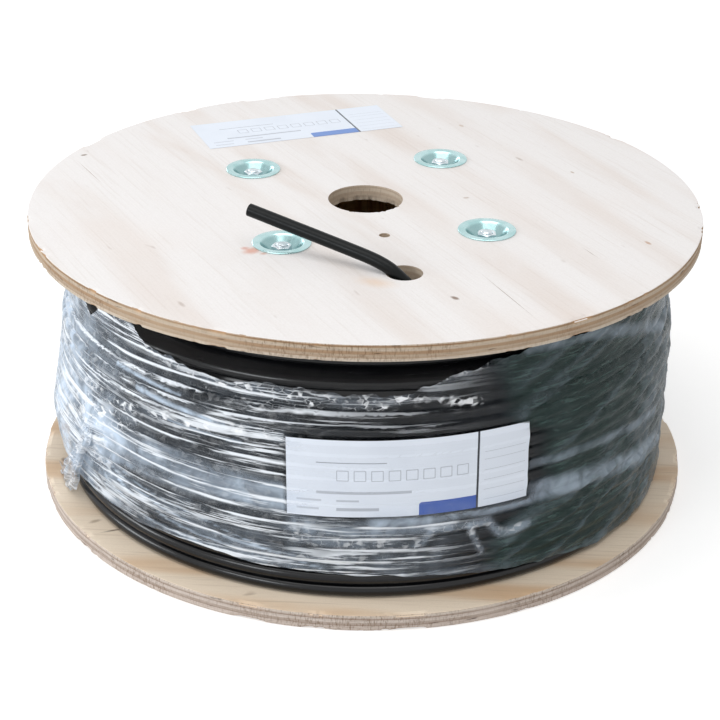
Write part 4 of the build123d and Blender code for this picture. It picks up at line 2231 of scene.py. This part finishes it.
        def blocks(field_colour: Colour, rule: Colour) -> tuple[Block, ...]:
            """The label's blocks, from the lowest, with the large block and the divider in these inks.

            Args:
                field_colour: the large block's ink.
                rule: the divider's ink.

            Returns:
                The blocks, in the order of printing.
            """
            return (
                *squares, *cores, *words,
                Block(0.53, -0.3, 0.95, 0.17, field_colour, 2.2 * MM),
                Block(0.775, -0.1, 1.1, 1.1, white),
                Block(0.768, -0.1, 0.777, 1.1, rule),
                *lines,
            )

        # The flat label's blocks, in paler inks than the wrapped one's.
        paler_blocks = blocks(ink(116, 150, 214), ink(96, 100, 110))
        self.wrap_paper = PrintedPaper(
            "wrapped label paper", *WRAP_LABEL, white, blocks(blue, dark)
        ).material()
        self.flat_paper = PrintedPaper("flat label paper", *FLAT_LABEL, white, paler_blocks).material()


@dataclass
class Studio:
    """The floor, the lamps, the white surroundings and the camera."""

    floor_size: float = 14.0
    floor_drop: float = 0.4 * MM
    floor_glow: float = 0.42
    fill: float = 0.55
    aim: Place = (0.0, 0.0, 0.12)
    eye: Place = (-0.24752, -1.25006, 0.71616)
    look: Place = (0.172161, 0.878243, -0.446151)
    right: Place = (0.982437, -0.186167, 0.012636)
    focal_pixels: float = 1820.3
    frame_pixels: float = 720.0
    sensor: float = 36.0

    def camera(self) -> None:
        """Stands the camera where the photographer stood."""
        data = bpy.data.cameras.new("camera")
        data.sensor_width = self.sensor
        data.lens = self.focal_pixels / self.frame_pixels * self.sensor
        data.clip_start, data.clip_end = 0.05, 60.0
        piece = bpy.data.objects.new("camera", data)
        bpy.context.scene.collection.objects.link(piece)
        back, right = -Vector(self.look).normalized(), Vector(self.right).normalized()
        up = back.cross(right)
        basis = Matrix((right, up, back)).transposed().to_4x4()
        piece.matrix_world = Matrix.Translation(self.eye) @ basis
        bpy.context.scene.camera = piece

    def surroundings(self) -> None:
        """White as the camera and reflections see it, and a soft fill light otherwise."""
        world = bpy.data.worlds.new("white surroundings")
        world.use_nodes = True
        bpy.context.scene.world = world
        tree = world.node_tree
        background = tree.nodes["Background"]
        background.inputs["Color"].default_value = (1.0, 1.0, 1.0, 1.0)
        path = tree.nodes.new("ShaderNodeLightPath")
        seen = path.outputs["Is Camera Ray"]
        for ray in ("Is Glossy Ray", "Is Transmission Ray"):
            either = tree.nodes.new("ShaderNodeMath")
            either.operation = "MAXIMUM"
            tree.links.new(seen, either.inputs[0])
            tree.links.new(path.outputs[ray], either.inputs[1])
            seen = either.outputs[0]
        strength = tree.nodes.new("ShaderNodeMapRange")
        strength.inputs["To Min"].default_value = self.fill
        strength.inputs["To Max"].default_value = 1.0
        tree.links.new(seen, strength.inputs["Value"])
        tree.links.new(strength.outputs[0], background.inputs["Strength"])

    def floor(self) -> None:
        """A plain pale floor that keeps the drum's shadow."""
        deselect()
        bpy.ops.mesh.primitive_plane_add(size=self.floor_size, location=(0, 0, -self.floor_drop))
        floor = bpy.context.active_object
        floor.name = "floor"
        graph = Graph("pale floor")
        graph.surface(Base_Color=ink(236, 236, 236), Roughness=0.9, Specular_IOR_Level=0.0)
        path = graph.nodes.new("ShaderNodeLightPath")
        graph.links.new(path.outputs["Is Camera Ray"], graph.shader.inputs["Emission Strength"])
        glow = self.floor_glow
        graph.shader.inputs["Emission Color"].default_value = (glow, glow, glow, 1.0)
        floor.data.materials.append(graph.material)

    def lamp(self, name: str, place: Place, size: Point, power: float, tint: Colour) -> None:
        """A rectangular lamp that faces the drum's middle.

        Args:
            name: the lamp's name.
            place: where it hangs.
            size: its width and height.
            power: its power in watts.
            tint: its colour.
        """
        data = bpy.data.lights.new(name, "AREA")
        data.shape = "RECTANGLE"
        data.size, data.size_y = size
        data.energy = power
        data.color = tint[:3]
        piece = bpy.data.objects.new(name, data)
        bpy.context.scene.collection.objects.link(piece)
        piece.location = place
        piece.rotation_mode = "QUATERNION"
        piece.rotation_quaternion = (Vector(self.aim) - Vector(place)).to_track_quat("-Z", "Y")

    def build(self) -> None:
        """Sets up everything round the drum."""
        self.camera()
        self.surroundings()
        self.floor()
        day, cool = (1.0, 0.99, 0.97, 1.0), (0.92, 0.96, 1.0, 1.0)
        self.lamp("overhead softbox", (-0.4, -0.6, 2.2), (2.4, 1.4), 18.5, day)
        self.lamp("left window", (-2.3, 0.3, 0.8), (0.9, 0.7), 15.0, cool)
        self.lamp("front window", (-1.9, -1.6, 1.0), (0.9, 0.6), 12.0, cool)
        self.lamp("back window", (-1.0, 2.2, 0.7), (1.0, 0.5), 6.0, cool)
        bpy.context.scene.view_settings.view_transform = "Standard"


def dress_staves(finishes: Finishes) -> None:
    """Gives every stave of the barrel its sawn wood.

    Args:
        finishes: the drum's materials.
    """
    for name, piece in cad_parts.items():
        if name.startswith("stave_"):
            piece.data.materials.clear()
            piece.data.materials.append(finishes.stave)


def main() -> None:
    """Builds the camera and the cable first, then the drum from the wood outwards."""
    logging.basicConfig(level=logging.INFO, format="%(relativeCreated)d %(name)s %(message)s")
    finishes = Finishes()
    Studio().build()
    CableStart().build(finishes)
    flanges = Flanges()
    flanges.build(finishes)
    Fastenings(flanges.rod_centres()).build(finishes)
    dress_staves(finishes)
    winding = Winding()
    winding.build(finishes)
    Labels(winding).build(finishes)
    FilmWrap(winding).build(finishes)


if __name__ == "__main__":
    main()
